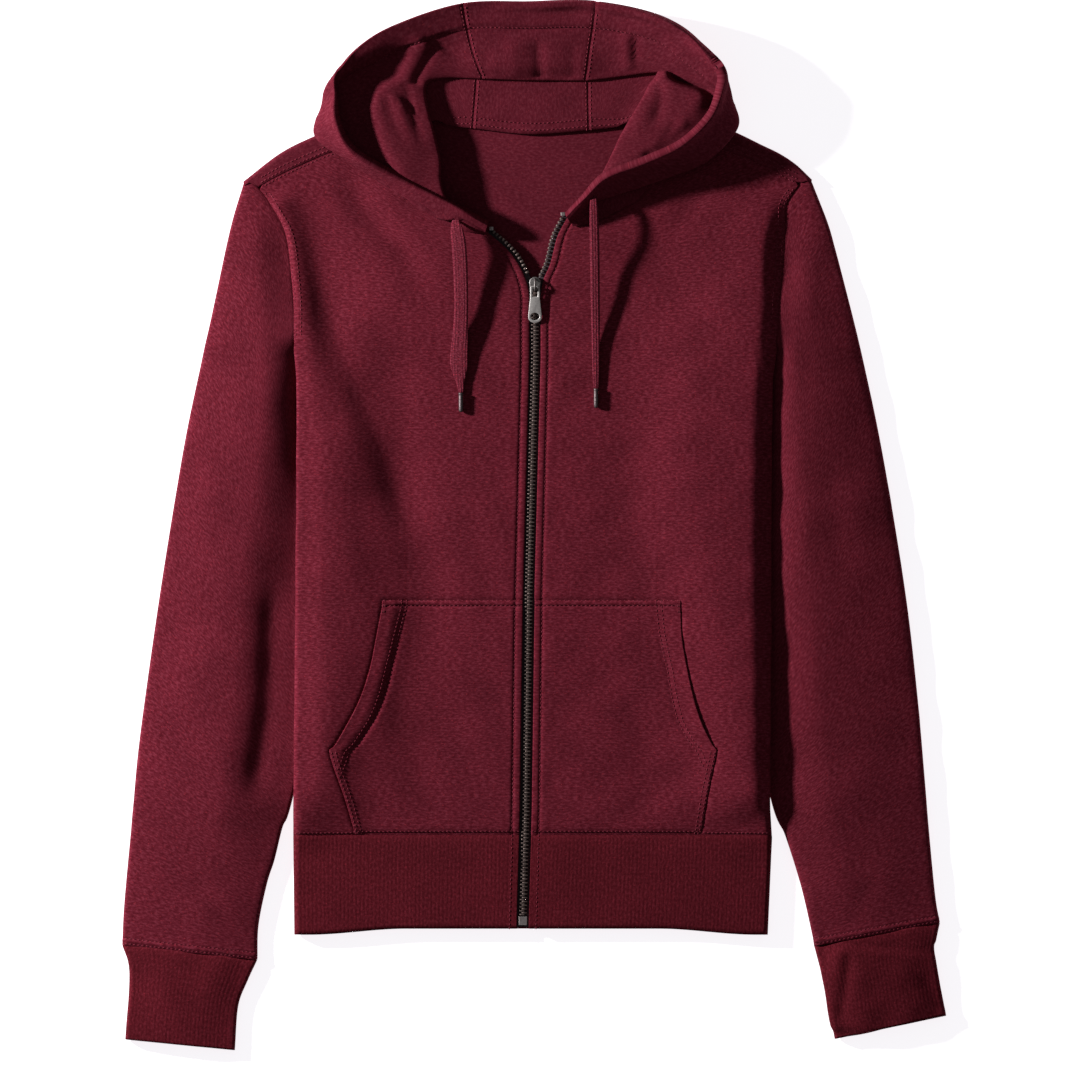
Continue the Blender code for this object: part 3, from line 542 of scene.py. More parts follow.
@dataclass(frozen=True)
class PaperFloor(Finish):
    """A seamless white paper sweep, lit from behind the object: nearly white, with pale shadows."""

    colour: str
    glow: float = 0.93

    def draw(self, tree: NodeTree, shader: Node) -> None:
        """An even matt white with a glow."""
        set_inputs(shader, {
            "Base Color": linear(self.colour),
            "Roughness": 0.9,
            "Emission Color": linear(self.colour),
            "Emission Strength": self.glow,
        })


JERSEY = Knit("cotton fleece, jersey face", Slot.FLEECE, "#4F111C", "#601A27", "#752B39", "#802733")
BRUSHED = Knit(
    "cotton fleece, inside", Slot.FLEECE, "#51131F", "#5B1926", "#682632", "#70232E", streak=(3.4, 1.8)
)
RIB = Knit(
    "cotton rib knit", Slot.RIB, "#480E17", "#54141D", "#651F2A", "#6E1D28", streak=(1.6, 2.6), relief=0.2
)
CORD = Knit(
    "flat cotton cord", Slot.CORD, "#4E1622", "#641F2C", "#813947", "#8E2A38", streak=(1.6, 1.2), stitch=1.5
)
THREAD = Knit(
    "sewing thread", Slot.FLEECE, "#561824", "#6C2531", "#803D49", "#86303B", streak=(1.0, 0.6), relief=0.05
)
# The tape's second colour is a painted highlight on its yarns' crowns.
TWILL = WovenTape("polyester zip tape", Slot.TAPE, "#22151A", "#43343A")
TEETH = Metal("antique brass teeth", Slot.TEETH, "#4A3C3A", "#8E7E78", 0.58)
GUNMETAL = Metal("cast zinc, gunmetal plated", Slot.SLIDER, "#A8A2A0", "#D6D0CC", 0.56)
NICKEL = Metal("nickel plated steel", Slot.BRIGHT, "#8A807E", "#C4BAB8", 0.45)
PEWTER = Metal("dull pewter tips", Slot.BRIGHT, "#4C4243", "#7C7071", 0.5)
DARK_ZINC = Metal("cast zinc, worn dark plating", Slot.SLIDER, "#5C5654", "#A49E9C", 0.5)
PAPER = PaperFloor("white paper sweep", None, "#F4F2F5")


# ---- cloth


@dataclass(frozen=True)
class Crease:
    """A soft trough or ridge along a plan path.

    height is in mm and negative for a trough, width is how far it reaches to the left of its
    path and lean times that to the right. taper is the share of its length over which its start
    fades in; tail is the same for its other end, and is like taper if there is none.
    """

    path: Table
    height: float
    width: float
    lean: float = 1.0
    taper: float = 0.3
    tail: float | None = None

    def relief(self, x: Points, y: Points) -> Points:
        """How far this crease raises each plan point, in mm."""
        line = smooth_path(self.path, 8) if len(self.path) > 2 else np.asarray(self.path, float)
        run = run_along(line)
        best = np.full(x.shape, 1e9)
        across = np.zeros(x.shape)
        share = np.zeros(x.shape)
        for start, stop, begun, length in zip(line, line[1:], run, np.diff(run)):
            step = (stop - start) / length
            along = np.clip((x - start[0]) * step[0] + (y - start[1]) * step[1], 0, length)
            off_x = x - start[0] - along * step[0]
            off_y = y - start[1] - along * step[1]
            gap = off_x * off_x + off_y * off_y
            nearer = gap < best
            best = np.where(nearer, gap, best)
            across = np.where(nearer, step[0] * off_y - step[1] * off_x, across)
            share = np.where(nearer, (begun + along) / run[-1], share)
        reach = np.where(across > 0, self.width, self.width * self.lean)
        tail = self.taper if self.tail is None else self.tail
        faded = smoothstep(share / self.taper) * smoothstep((1 - share) / tail)
        return self.height * np.exp(-best / reach**2) * faded


def unevenness(x: Points, y: Points, height: float, length: float, seed: int) -> Points:
    """Gentle swells of about this height and length in mm: waves in seeded directions."""
    draw = np.random.default_rng(seed)
    total = np.zeros(x.shape)
    for _ in range(9):
        turn = draw.uniform(0, math.tau)
        wave = math.tau / (length * draw.uniform(0.6, 1.7))
        total += np.sin(wave * (x * math.cos(turn) + y * math.sin(turn)) + draw.uniform(0, math.tau))
    return total * height / 3


@dataclass(frozen=True)
class Relief:
    """The soft form of a panel over its plain shape: its creases, and swells of a length in mm."""

    creases: tuple[Crease, ...]
    seed: int
    swell: float = 0.35
    swell_length: float = 55.0

    def at(self, x: Points, y: Points) -> Points:
        """How far the form raises each plan point, in mm."""
        total = unevenness(x, y, self.swell, self.swell_length, self.seed)
        return total + sum(crease.relief(x, y) for crease in self.creases)


@dataclass
class Cloth:
    """A cloth wall: a grid of points on its middle, in plan mm. A ring joins last column to first."""

    name: str
    grid: Points
    wall: float = FLEECE - 0.3
    ring: bool = False
    hem: Points | None = None

    def normals(self) -> Points:
        """The wall's directions, with most of them upwards."""
        if self.ring:
            across = np.roll(self.grid, -1, axis=1) - np.roll(self.grid, 1, axis=1)
        else:
            across = np.gradient(self.grid, axis=1)
        facing = np.cross(across, np.gradient(self.grid, axis=0))
        facing /= np.maximum(np.linalg.norm(facing, axis=2), 1e-9)[:, :, None]
        upper = self.grid[:, :, 2] >= np.median(self.grid[:, :, 2])
        return facing if facing[upper][:, 2].mean() > 0 else -facing

    def across(self) -> Points:
        """The length along each row up to each point."""
        steps = np.linalg.norm(np.diff(self.grid, axis=1), axis=2)
        return np.hstack([np.zeros((len(self.grid), 1)), np.cumsum(steps, axis=1)])

    def along(self) -> Points:
        """The length along each column up to each point."""
        steps = np.linalg.norm(np.diff(self.grid, axis=0), axis=2)
        return np.vstack([np.zeros((1, self.grid.shape[1])), np.cumsum(steps, axis=0)])

    def press(self, relief: Points, everywhere: bool = False) -> None:
        """Moves the wall by this relief, in full where it faces up and not at all where it faces down."""
        facing = self.normals()
        weight = 1.0 if everywhere else np.clip(facing[:, :, 2] * 1.6, 0, 1)
        self.grid = self.grid + facing * (relief * weight)[:, :, None]

    def shape(self, relief: Relief, share: Points | float = 1.0) -> None:
        """Presses a panel's soft form into the wall, in this share of its height."""
        self.press(relief.at(self.grid[:, :, 0], self.grid[:, :, 1]) * share)

    def seam_line(
        self, distance: float | Points, edge: str, part: slice = slice(None)
    ) -> tuple[Points, Points]:
        """A line on the wall's face at a distance from one of its edges.

        Args:
            distance: how far in from the edge, in mm, or that for each row.
            edge: first or last column, or top or bottom for the first or last row.
            part: which of the rows the line crosses, or of the columns for top and bottom.

        Returns:
            The line's points in plan mm and the wall's directions there.
        """
        grid, facing = self.grid, self.normals()
        run = self.across()
        if edge in ("top", "bottom"):
            grid, facing, run = grid.transpose(1, 0, 2), facing.transpose(1, 0, 2), self.along().T
        if edge in ("last", "bottom"):
            grid, facing, run = grid[:, ::-1], facing[:, ::-1], (run[:, -1:] - run)[:, ::-1]
        points, directions = [], []
        distances = np.broadcast_to(distance, len(grid))
        for row, normal, reach, inward in zip(grid[part], facing[part], run[part], distances[part]):
            at = [np.interp(inward, reach, row[:, axis]) for axis in range(3)]
            turned = [np.interp(inward, reach, normal[:, axis]) for axis in range(3)]
            points.append(np.array(at) + np.array(turned) * self.wall / 2)
            directions.append(turned)
        return np.array(points), np.array(directions)

    def build(self, finish: Finish) -> Object:
        """Makes the wall as a closed shell, in place of the node of its name.

        Args:
            finish: what it is made of.

        Returns:
            The finished object.
        """
        rows, columns, faces = grid_faces(*self.grid.shape[:2], self.ring)
        mesh = plan_mesh(self.name, self.grid, faces)
        self.map_cloth(mesh, rows, columns)
        obj = add_piece(f"{self.name}_cloth", mesh, finish, [self.name])
        log.info("%s: %d points", self.name, self.grid.size // 3)
        wall = obj.modifiers.new("cloth wall", "SOLIDIFY")
        wall.thickness = self.wall * MM
        wall.offset = 0.0
        wall.use_rim = True
        if self.hem is not None:
            group = obj.vertex_groups.new(name="hem")
            for index, weight in enumerate(self.hem.reshape(-1)):
                group.add([index], float(weight), "REPLACE")
            wall.thickness = HEM_WALL * MM
            wall.vertex_group = "hem"
            wall.thickness_vertex_group = self.wall / HEM_WALL
        return obj

    def map_cloth(self, mesh: Mesh, rows: Points, columns: Points) -> None:
        """Lays the cloth map: metres along the courses and the wales."""
        grid = np.concatenate([self.grid, self.grid[:, :1]], axis=1) if self.ring else self.grid
        whole = Cloth(self.name, grid)
        across = whole.across()
        along = whole.along()
        middle = np.median(along, axis=1)[:, None] + np.zeros(across.shape)
        u = across - across[:, across.shape[1] // 2][:, None]
        corners = [(rows, columns), (rows, columns + 1), (rows + 1, columns + 1), (rows + 1, columns)]
        pairs = [np.stack([u[corner], middle[corner]], axis=-1) for corner in corners]
        layer = mesh.uv_layers.new(name="cloth")
        layer.data.foreach_set("uv", (np.stack(pairs, axis=2).reshape(-1) * MM).tolist())


def grid_faces(count: int, across: int, ring: bool) -> tuple[Points, Points, list]:
    """The quads of a grid of points, after the row and the column that each begins in."""
    span = across if ring else across - 1
    rows, columns = np.meshgrid(np.arange(count - 1), np.arange(span), indexing="ij")
    here = rows * across + columns
    beside = rows * across + (columns + 1) % across
    quads = np.stack([here, beside, beside + across, here + across], axis=-1)
    return rows, columns, quads.reshape(-1, 4).tolist()


def plan_mesh(name: str, points: Points | Sequence, faces: Sequence) -> Mesh:
    """A smooth mesh from points in plan mm."""
    mesh = bpy.data.meshes.new(name)
    mesh.from_pydata(place(points).reshape(-1, 3).tolist(), [], faces)
    mesh.shade_smooth()
    return mesh


def map_flat(mesh: Mesh, points: Points) -> None:
    """Lays the cloth map straight down over a mesh's points, in metres."""
    loops = np.empty(len(mesh.loops), np.int32)
    mesh.loops.foreach_get("vertex_index", loops)
    flat = points.reshape(-1, 3)[:, :2] * MM
    mesh.uv_layers.new(name="cloth").data.foreach_set("uv", flat[loops].reshape(-1).tolist())


def add_piece(
    name: str,
    mesh: Mesh,
    finish: Finish,
    nodes: Sequence[str] = (),
    body: Body = Body.HOODIE,
) -> Object:
    """Links a piece, dresses it and lets it ride.

    Args:
        name: the piece's name.
        mesh: its mesh.
        finish: what it is made of.
        nodes: the frame's nodes that it stands for.
        body: the body that it rides on.

    Returns:
        The new object.
    """
    obj = bpy.data.objects.new(name, mesh)
    mesh.materials.append(finish.material())
    bpy.context.scene.collection.objects.link(obj)
    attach(obj, body.value)
    if nodes:
        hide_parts(*nodes)
    return obj


def copies(name: str, shape: Points, faces: Sequence, origins: Points, axes: Points) -> Mesh:
    """One mesh of many copies of a small shape.

    Args:
        name: the mesh's name.
        shape: the shape's points in mm.
        faces: its faces.
        origins: where each copy goes, in plan mm.
        axes: each copy's x, y and z directions, as rows of a matrix.

    Returns:
        The joined mesh.
    """
    placed = np.einsum("kj,njc->nkc", shape, axes) + origins[:, None, :]
    joined = [[at + copy * len(shape) for at in face] for copy in range(len(origins)) for face in faces]
    mesh = plan_mesh(name, placed, joined)
    map_flat(mesh, placed)
    return mesh


@dataclass
class Sewing:
    """Rows of machine stitches, gathered into one piece. Sizes are in mm."""

    name: str
    pitch: float = 3.4
    length: float = 2.7
    thickness: float = 0.9
    origins: list[Points] = field(default_factory=list)
    axes: list[Points] = field(default_factory=list)

    def row(self, line: tuple[Points, Points], start: float = 0.0, stop: float = 1.0) -> None:
        """Sews along a line on a wall's face.

        Args:
            line: points and the wall's directions there.
            start: share of the line where the row begins.
            stop: share where it ends.
        """
        points, facing = line
        run = run_along(points)
        count = max(2, int((stop - start) * run[-1] / self.pitch))
        at = np.linspace(start, stop, count) * run[-1]
        half = self.length / 2
        first = np.column_stack([np.interp(at - half, run, axis) for axis in points.T])
        last = np.column_stack([np.interp(at + half, run, axis) for axis in points.T])
        up = np.column_stack([np.interp(at, run, axis) for axis in facing.T])
        x_axis = last - first
        x_axis /= np.maximum(np.linalg.norm(x_axis, axis=1), 1e-6)[:, None]
        y_axis = np.cross(up, x_axis)
        y_axis /= np.maximum(np.linalg.norm(y_axis, axis=1), 1e-6)[:, None]
        self.origins.append((first + last) / 2)
        self.axes.append(np.stack([x_axis, y_axis, np.cross(x_axis, y_axis)], axis=1))

    def build(self) -> Object:
        """Makes every stitch: a short sunk thread with both ends diving into the cloth."""
        half, thick = self.length / 2, self.thickness / 2
        rings = [(-half * 0.55, 1.0), (half * 0.55, 1.0)]
        shape = [(-half, 0.0, -thick)]
        for x, share in rings:
            for turn in np.linspace(0, math.tau, 5, endpoint=False):
                shape.append((x, thick * share * math.cos(turn), thick * share * math.sin(turn)))
        shape.append((half, 0.0, -thick))
        faces = []
        for k in range(5):
            after = (k + 1) % 5
            faces.append((0, 1 + after, 1 + k))
            faces.append((1 + k, 1 + after, 6 + after, 6 + k))
            faces.append((6 + k, 6 + after, 11))
        mesh = copies(self.name, np.array(shape), faces, np.vstack(self.origins), np.vstack(self.axes))
        return add_piece(self.name, mesh, THREAD)


# ---- the stage


@dataclass
class Studio:
    """The pale floor, the soft key light from the left and the camera straight above."""

    frame_width: float = 895.6
    middle: tuple[float, float] = (5.81, -12.87)
    lens: float = 600.0
    sensor: float = 36.0
    key_turn: float = 160.0
    key_height: float = 20.0
    key_distance: float = 2.6
    key_width: float = 0.2
    key_power: float = 141.0
    fill_strength: float = 0.124
    floor_size: float = 60.0

    def build(self) -> None:
        """Makes the camera, the lights and the floor."""
        self.camera()
        self.lights()
        self.floor()

    def camera(self) -> None:
        """A long lens looking straight down, framed on the garment."""
        data = bpy.data.cameras.new("overhead camera")
        data.lens = self.lens
        data.sensor_width = self.sensor
        data.clip_start, data.clip_end = 0.1, 100.0
        camera = bpy.data.objects.new("overhead camera", data)
        height = self.frame_width * self.lens / self.sensor
        camera.location = place((*self.middle, height + 10))
        bpy.context.scene.collection.objects.link(camera)
        bpy.context.scene.camera = camera

    def lights(self) -> None:
        """A low soft key and a weak even fill."""
        lamp = bpy.data.lights.new("key light", "AREA")
        lamp.shape = "DISK"
        lamp.size = self.key_width
        lamp.energy = self.key_power
        key = bpy.data.objects.new("key light", lamp)
        turn, height = math.radians(self.key_turn), math.radians(self.key_height)
        flat = math.cos(height)
        toward = Vector((math.cos(turn) * flat, math.sin(turn) * flat, math.sin(height)))
        key.location = toward * self.key_distance
        key.rotation_euler = toward.to_track_quat("Z", "Y").to_euler()
        bpy.context.scene.collection.objects.link(key)
        world = bpy.data.worlds.new("studio fill")
        world.use_nodes = True
        fill = {"Color": linear("#F6F6FA"), "Strength": self.fill_strength}
        set_inputs(world.node_tree.nodes["Background"], fill)
        bpy.context.scene.world = world
        bpy.context.scene.view_settings.view_transform = "Standard"

    def floor(self) -> None:
        """The paper sweep."""
        half = self.floor_size / 2
        mesh = bpy.data.meshes.new("floor")
        corners = [(-half, -half, 0), (half, -half, 0), (half, half, 0), (-half, half, 0)]
        mesh.from_pydata(corners, [], [(0, 1, 2, 3)])
        mesh.materials.append(PAPER.material())
        floor = bpy.data.objects.new("floor", mesh)
        floor.location.z = -0.0005
        bpy.context.scene.collection.objects.link(floor)


# ---- drawcords


@dataclass
class Drawcord:
    """One free end of the flat knitted cord, with a metal tip. Sizes are in mm.

    route has a row for each point: x, y, height of the underside, share of the full width. tilt is
    how much its right edge stands over its left one, as a slope.
    """

    name: str
    route: Table
    exit_point: tuple[float, float, float]
    width: float = 13.0
    tilt: float = 0.0
    thickness: float = 2.4
    wale: float = 2.2
    tip_length: float = 16.0
    tip_radius: float = 2.1

    def build(self) -> None:
        table = smooth_path(self.route, 12)
        middle = table[:, :3] + (0, 0, 1.0)
        tip = self.tip()
        cord = self.knit(table)
        length = run_along(middle)[-1]
        place(self.exit_point)
        self.width * max(row[3] for row in self.route) * MM
        place(middle[::4])
        log.info("drawcord %s: %.0f mm and a %.0f mm tip", self.name, length, self.tip_length)

    def knit(self, table: Points) -> Object:
        """The flat cord: a rounded section with raised wales, swept along the route."""
        turns = np.linspace(0, math.tau, 56, endpoint=False)
        fine = resample(table, np.linspace(0, 1, 170))
        run = run_along(fine[:, :3])
        rings = []
        for (x, y, low, share), reach in zip(fine, run):
            half = self.width * share / 2
            across = half * np.sign(np.cos(turns)) * np.abs(np.cos(turns)) ** 0.75
            up = self.thickness / 2 * np.sign(np.sin(turns)) * np.abs(np.sin(turns)) ** 0.6
            slant = 1.1 * np.abs(across % self.wale - self.wale / 2)
            loops = 0.16 * np.cos(math.tau * (reach / self.wale + slant / self.wale))
            wales = 0.14 * np.cos(math.tau * across / self.wale)
            skin = 1 + (loops + wales) / self.thickness * 2
            level = low + 1.0 + up * skin + self.tilt * across
            rings.append(np.column_stack([x + across, np.full(across.shape, y), level]))
        name, grid = f"drawcord_{self.name}", np.array(rings)
        count, around = grid.shape[:2]
        caps = [list(range(around))[::-1], [(count - 1) * around + at for at in range(around)]]
        mesh = plan_mesh(name, grid, grid_faces(count, around, True)[2] + caps)
        map_flat(mesh, grid)
        mesh.validate()
        return add_piece(f"{name}_knit", mesh, CORD, [name])

    def tip(self) -> Object:
        """The crimped tip: a turned sleeve with a rolled lip and a domed end."""
        x, y, low = self.route[-1][:3]
        centre = np.array([x, y - 0.3, low + self.tip_radius - 0.2])
        radius, length = self.tip_radius, self.tip_length
        profile = (
            (0.0, 0.82), (0.0, 0.97), (0.6, 1.0), (1.4, 0.97), (1.9, 0.88), (2.6, 0.9), (length * 0.5, 0.9),
            (length - 3.0, 0.9), (length - 1.2, 0.86), (length - 0.4, 0.7), (length, 0.4), (length, 0.0),
        )
        around = 28
        turns = np.linspace(0, math.tau, around, endpoint=False)
        points = []
        for reach, share in profile:
            for turn in turns:
                r = radius * max(share, 0.02)
                points.append(centre + (r * math.cos(turn), -reach, r * math.sin(turn)))
        ends = [tuple(range(around))[::-1], tuple(range(len(points) - around, len(points)))]
        name = f"cord_tip_{self.name}"
        mesh = plan_mesh(name, points, grid_faces(len(profile), around, True)[2] + ends)
        return add_piece(f"{name}_metal", mesh, PEWTER, [name])


DRAWCORDS = (
    Drawcord(
        "left",
        (
            (-63.6, 251, 16.5, 0.4), (-63.4, 247, 19, 0.62), (-62.4, 240, 20.6, 0.84),
            (-61, 230, 21.4, 0.93), (-60, 216, 20, 0.93), (-59.4, 198, 18, 0.9), (-59.2, 178, 15.8, 0.88),
            (-59.8, 158, 13.2, 0.96), (-60.8, 142, 11.2, 1.1), (-60.9, 131, 10.2, 1.12),
            (-60.5, 123, 9.9, 0.86), (-60, 116.5, 9.8, 0.56), (-59.6, 111.5, 9.8, 0.4),
            (-59.4, 107.5, 9.8, 0.3),
        ),
        (-62.8, 246.5, 19.5),
        tilt=0.12,
    ),
    Drawcord(
        "right",
        (
            (50.4, 271.5, 20.5, 0.34), (50.6, 266.5, 23, 0.44), (50.9, 258, 24, 0.54),
            (51.2, 246, 23.2, 0.6), (51.5, 232, 21, 0.62), (51.8, 212, 18.4, 0.6), (52, 190, 15.8, 0.58),
            (52.3, 168, 13.2, 0.55), (52.5, 148, 11, 0.5), (52.6, 130, 10, 0.46), (52.7, 117, 9.8, 0.38),
            (52.8, 111, 9.8, 0.3),
        ),
        (51.5, 266.5, 23.5),
        tilt=0.05,
    ),
)


# ---- body


def fold_row(
    side: Side, y: float, out_zip: float, out_seam: float, marks: Points, last: float = 3, widen: float = 0
) -> Points:
    """One level of the front: upper layer, round the side fold, and under to the side seam.

    Args:
        side: the side of the garment.
        y: the level.
        out_zip: where the upper layer begins.
        out_seam: where the under layer ends.
        marks: places along the path, from 0 to 3.
        last: how far along the path the row ends: 1 after the upper layer, 2 after the fold, 3 at the seam.
        widen: how far the fold lies outside the body's edge.

    Returns:
        The row's (x, y, z) points.
    """
    edge = out_at(side.body_edge, y)
    near = edge - 4
    high = top_height(side, near, y) - HALF
    low = lift(side, near, y) + HALF
    radius = (high - low) / 2
    centre = edge + widen - HALF - radius * math.cos(math.pi * min(0.0, last - 1.5))
    stretch = (last - TOP_SHARE) / (3 - TOP_SHARE)
    marks = np.where(marks > TOP_SHARE, TOP_SHARE + (marks - TOP_SHARE) * stretch, marks)
    upper, under = marks <= 1, marks > 2
    out = np.where(upper, out_zip + (centre - out_zip) * marks, centre + (out_seam - centre) * (marks - 2))
    turn = math.pi * (marks - 1.5)
    out = np.where(upper | under, out, centre + radius * np.cos(turn))
    z = np.where(upper, top_height(side, out, y) - HALF, low + radius - radius * np.sin(turn))
    z = np.where(under, lift(side, out, y) + HALF, z)
    return np.column_stack([out * side.sign, np.full(out.shape, y), z])


def side_seam(side: Side, y: float) -> float:
    """Where the side seam lies under the body."""
    return float(np.interp(y, (BAND_BOTTOM, BAND_SEAM, UNDERARM), (189.0, 188.0, side.armhole[-1][0])))


def zip_out(side: Side, y: Points | float) -> Points:
    """The front's edge beside the closed chain."""
    return side.sign * chain_x(y) + FRONT_EDGE


def armhole_path(side: Side, distance: float = 0.0) -> Points:
    """The whole armhole from the underarm to the shoulder tip, moved outwards by distance."""
    return offset_path(resample(smooth_path(side.armhole)[::-1], np.linspace(0, 1, 90)), -distance)


def armhole_out(side: Side, y: Points | float) -> Points:
    """The out distance of the armhole at this y."""
    corners = armhole_path(side)
    return np.interp(y, corners[:, 1], corners[:, 0])


def zip_edge_path(side: Side) -> Points:
    """The front's edge along the open end of the zip, from the closed part to the zip's top."""
    start = [(side.sign * chain_x(y), y) for y in (ARMHOLE_TOP, 170.0, 188.0)]
    return offset_path(smooth_path([*start, *side.open_chain]), -FRONT_EDGE)


def pocket_cover(side: Side, out: Points, y: Points) -> Points:
    """How fully the pocket covers these points: 1 well inside it and 0 from its edge outwards."""
    opening = smooth_path(side.pocket_opening, 6)[::-1]
    inside = np.minimum(np.interp(y, opening[:, 1], opening[:, 0]) - out, POCKET_TOP - y)
    return smoothstep((np.minimum(inside, y - BAND_SEAM - 1.5) + 1.2) / 5)


@dataclass
class FrontPanel:
    """A front panel, from the waistband seam to the neckline and the shoulder seam. Sizes are in mm."""

    side: Side
    relief: Relief
    level_step: float = 2.6
    column: float = 2.5
    edge_column: float = 0.8
    stitch_in: float = 6.0
    pressed: float = 3.0

    def marks(self) -> Points:
        """Columns: dense beside the zip, even over the panel, then round the fold and under."""
        width = 190.0
        dense = np.arange(0, 14, self.edge_column) / width
        even = np.linspace(14 / width, TOP_SHARE, int((TOP_SHARE * width - 14) / self.column))
        fold = [np.linspace(TOP_SHARE, 1, 9)[1:], np.linspace(1, 2, 11)[1:], np.linspace(2, 3, 12)[1:]]
        return np.concatenate([dense, even, *fold])

    def rows(self) -> Points:
        """The panel's grid, fanned out above the side fold to the shoulder."""
        side, marks = self.side, self.marks()
        rows = []
        start = BAND_SEAM + SEAM_GAP
        levels = np.linspace(start + 2.8, 148.0, int((148 - BAND_SEAM) / self.level_step) - 1)
        widest = float(armhole_out(side, 150)) + SEAM_LAP + HALF - float(out_at(side.body_edge, 150))
        for y in np.concatenate([[start, start + 0.8, start + 1.7], levels]):
            seam = side_seam(side, y) if y < UNDERARM else float(armhole_out(side, y))
            last = float(np.interp(y, (100, 120, 132, 142, 150), (3.0, 2.2, 1.7, 1.3, 1.0)))
            widen = float(np.interp(y, (120, 150), (0.0, widest)))
            rows.append(fold_row(side, y, float(zip_out(side, y)), seam + SEAM_GAP, marks, last, widen))
        inner = [resample(zip_edge_path(side), np.linspace(0, 1, 44))]
        inner.append(resample(smooth_path(side.neckline), np.linspace(0, 1, 40)[1:]))
        arm = armhole_path(side, SEAM_LAP)
        arm = arm[(arm[:, 1] >= ARMHOLE_TOP) & (arm[:, 0] <= side.shoulder_seam[0][0])]
        outer = [resample(arm, np.linspace(0, 1, 44))]
        outer.append(resample(smooth_path(side.shoulder_seam), np.linspace(0, 1, 40)[1:]))
        beyond = np.maximum(marks - TOP_SHARE, 0)
        spread = np.where(beyond > 0, TOP_SHARE + beyond * (1 - TOP_SHARE) / (3 - TOP_SHARE), marks)
        for start, stop in zip(np.vstack(inner), np.vstack(outer)):
            plan = start + (stop - start) * spread[:, None]
            z = top_height(side, plan[:, 0], plan[:, 1]) - HALF
            rows.append(np.column_stack([plan[:, 0] * side.sign, plan[:, 1], z]))
        return np.array(rows)

    def build(self) -> Cloth:
        """Makes the panel with its creases and the sunk line of the zip's stitching."""
        cloth = Cloth(f"front_{self.side.name}", self.rows())
        from_zip = cloth.across()
        from_arm = from_zip[:, -1:] - from_zip
        beside_arm = smoothstep((cloth.grid[:, :, 1] - ARMHOLE_TOP + 8) / 8)
        sewn = 1 - beside_arm * (1 - smoothstep(from_arm / 4))
        cloth.shape(self.relief, sewn * smoothstep((from_zip - 4) / 16))
        cloth.press(-0.9 * peak(from_zip, self.stitch_in, 1.5) - 0.5 * np.exp(-from_zip / 1.2))
        cloth.press(-0.9 * peak(cloth.along(), 0, 1.8))
        x, y = cloth.grid[:, :, 0], cloth.grid[:, :, 1]
        cloth.press(-self.pressed * pocket_cover(self.side, x * self.side.sign, y))
        obj = cloth.build(JERSEY)
        return cloth


def back_point(left: float, right: float, level: float, across: Points) -> tuple[Points, Points]:
    """Points of the back's plain part, on the table or over the tucked sleeves."""
    x = left + (right - left) * across
    fade = smoothstep((80 - level) / 45)
    risen = np.where(x < 0, lift(LEFT, np.abs(x), level), lift(RIGHT, np.abs(x), level))
    return x, risen * fade + HALF


def shoulder_line(side: Side, out: Points) -> Points:
    """The y of the shoulder's top edge."""
    return out_at([(y, at) for at, y in smooth_path(side.shoulder_top)], out)


def strip_end(side: Side, out: Points) -> Points:
    """The y of the seam where the back's fold meets the front, and the armhole beyond it."""
    hole, seam = smooth_path(side.armhole), smooth_path(side.shoulder_seam)
    joined = np.vstack([hole[hole[:, 0] > seam[0, 0]], seam])
    return out_at([(y, at) for at, y in joined], out)


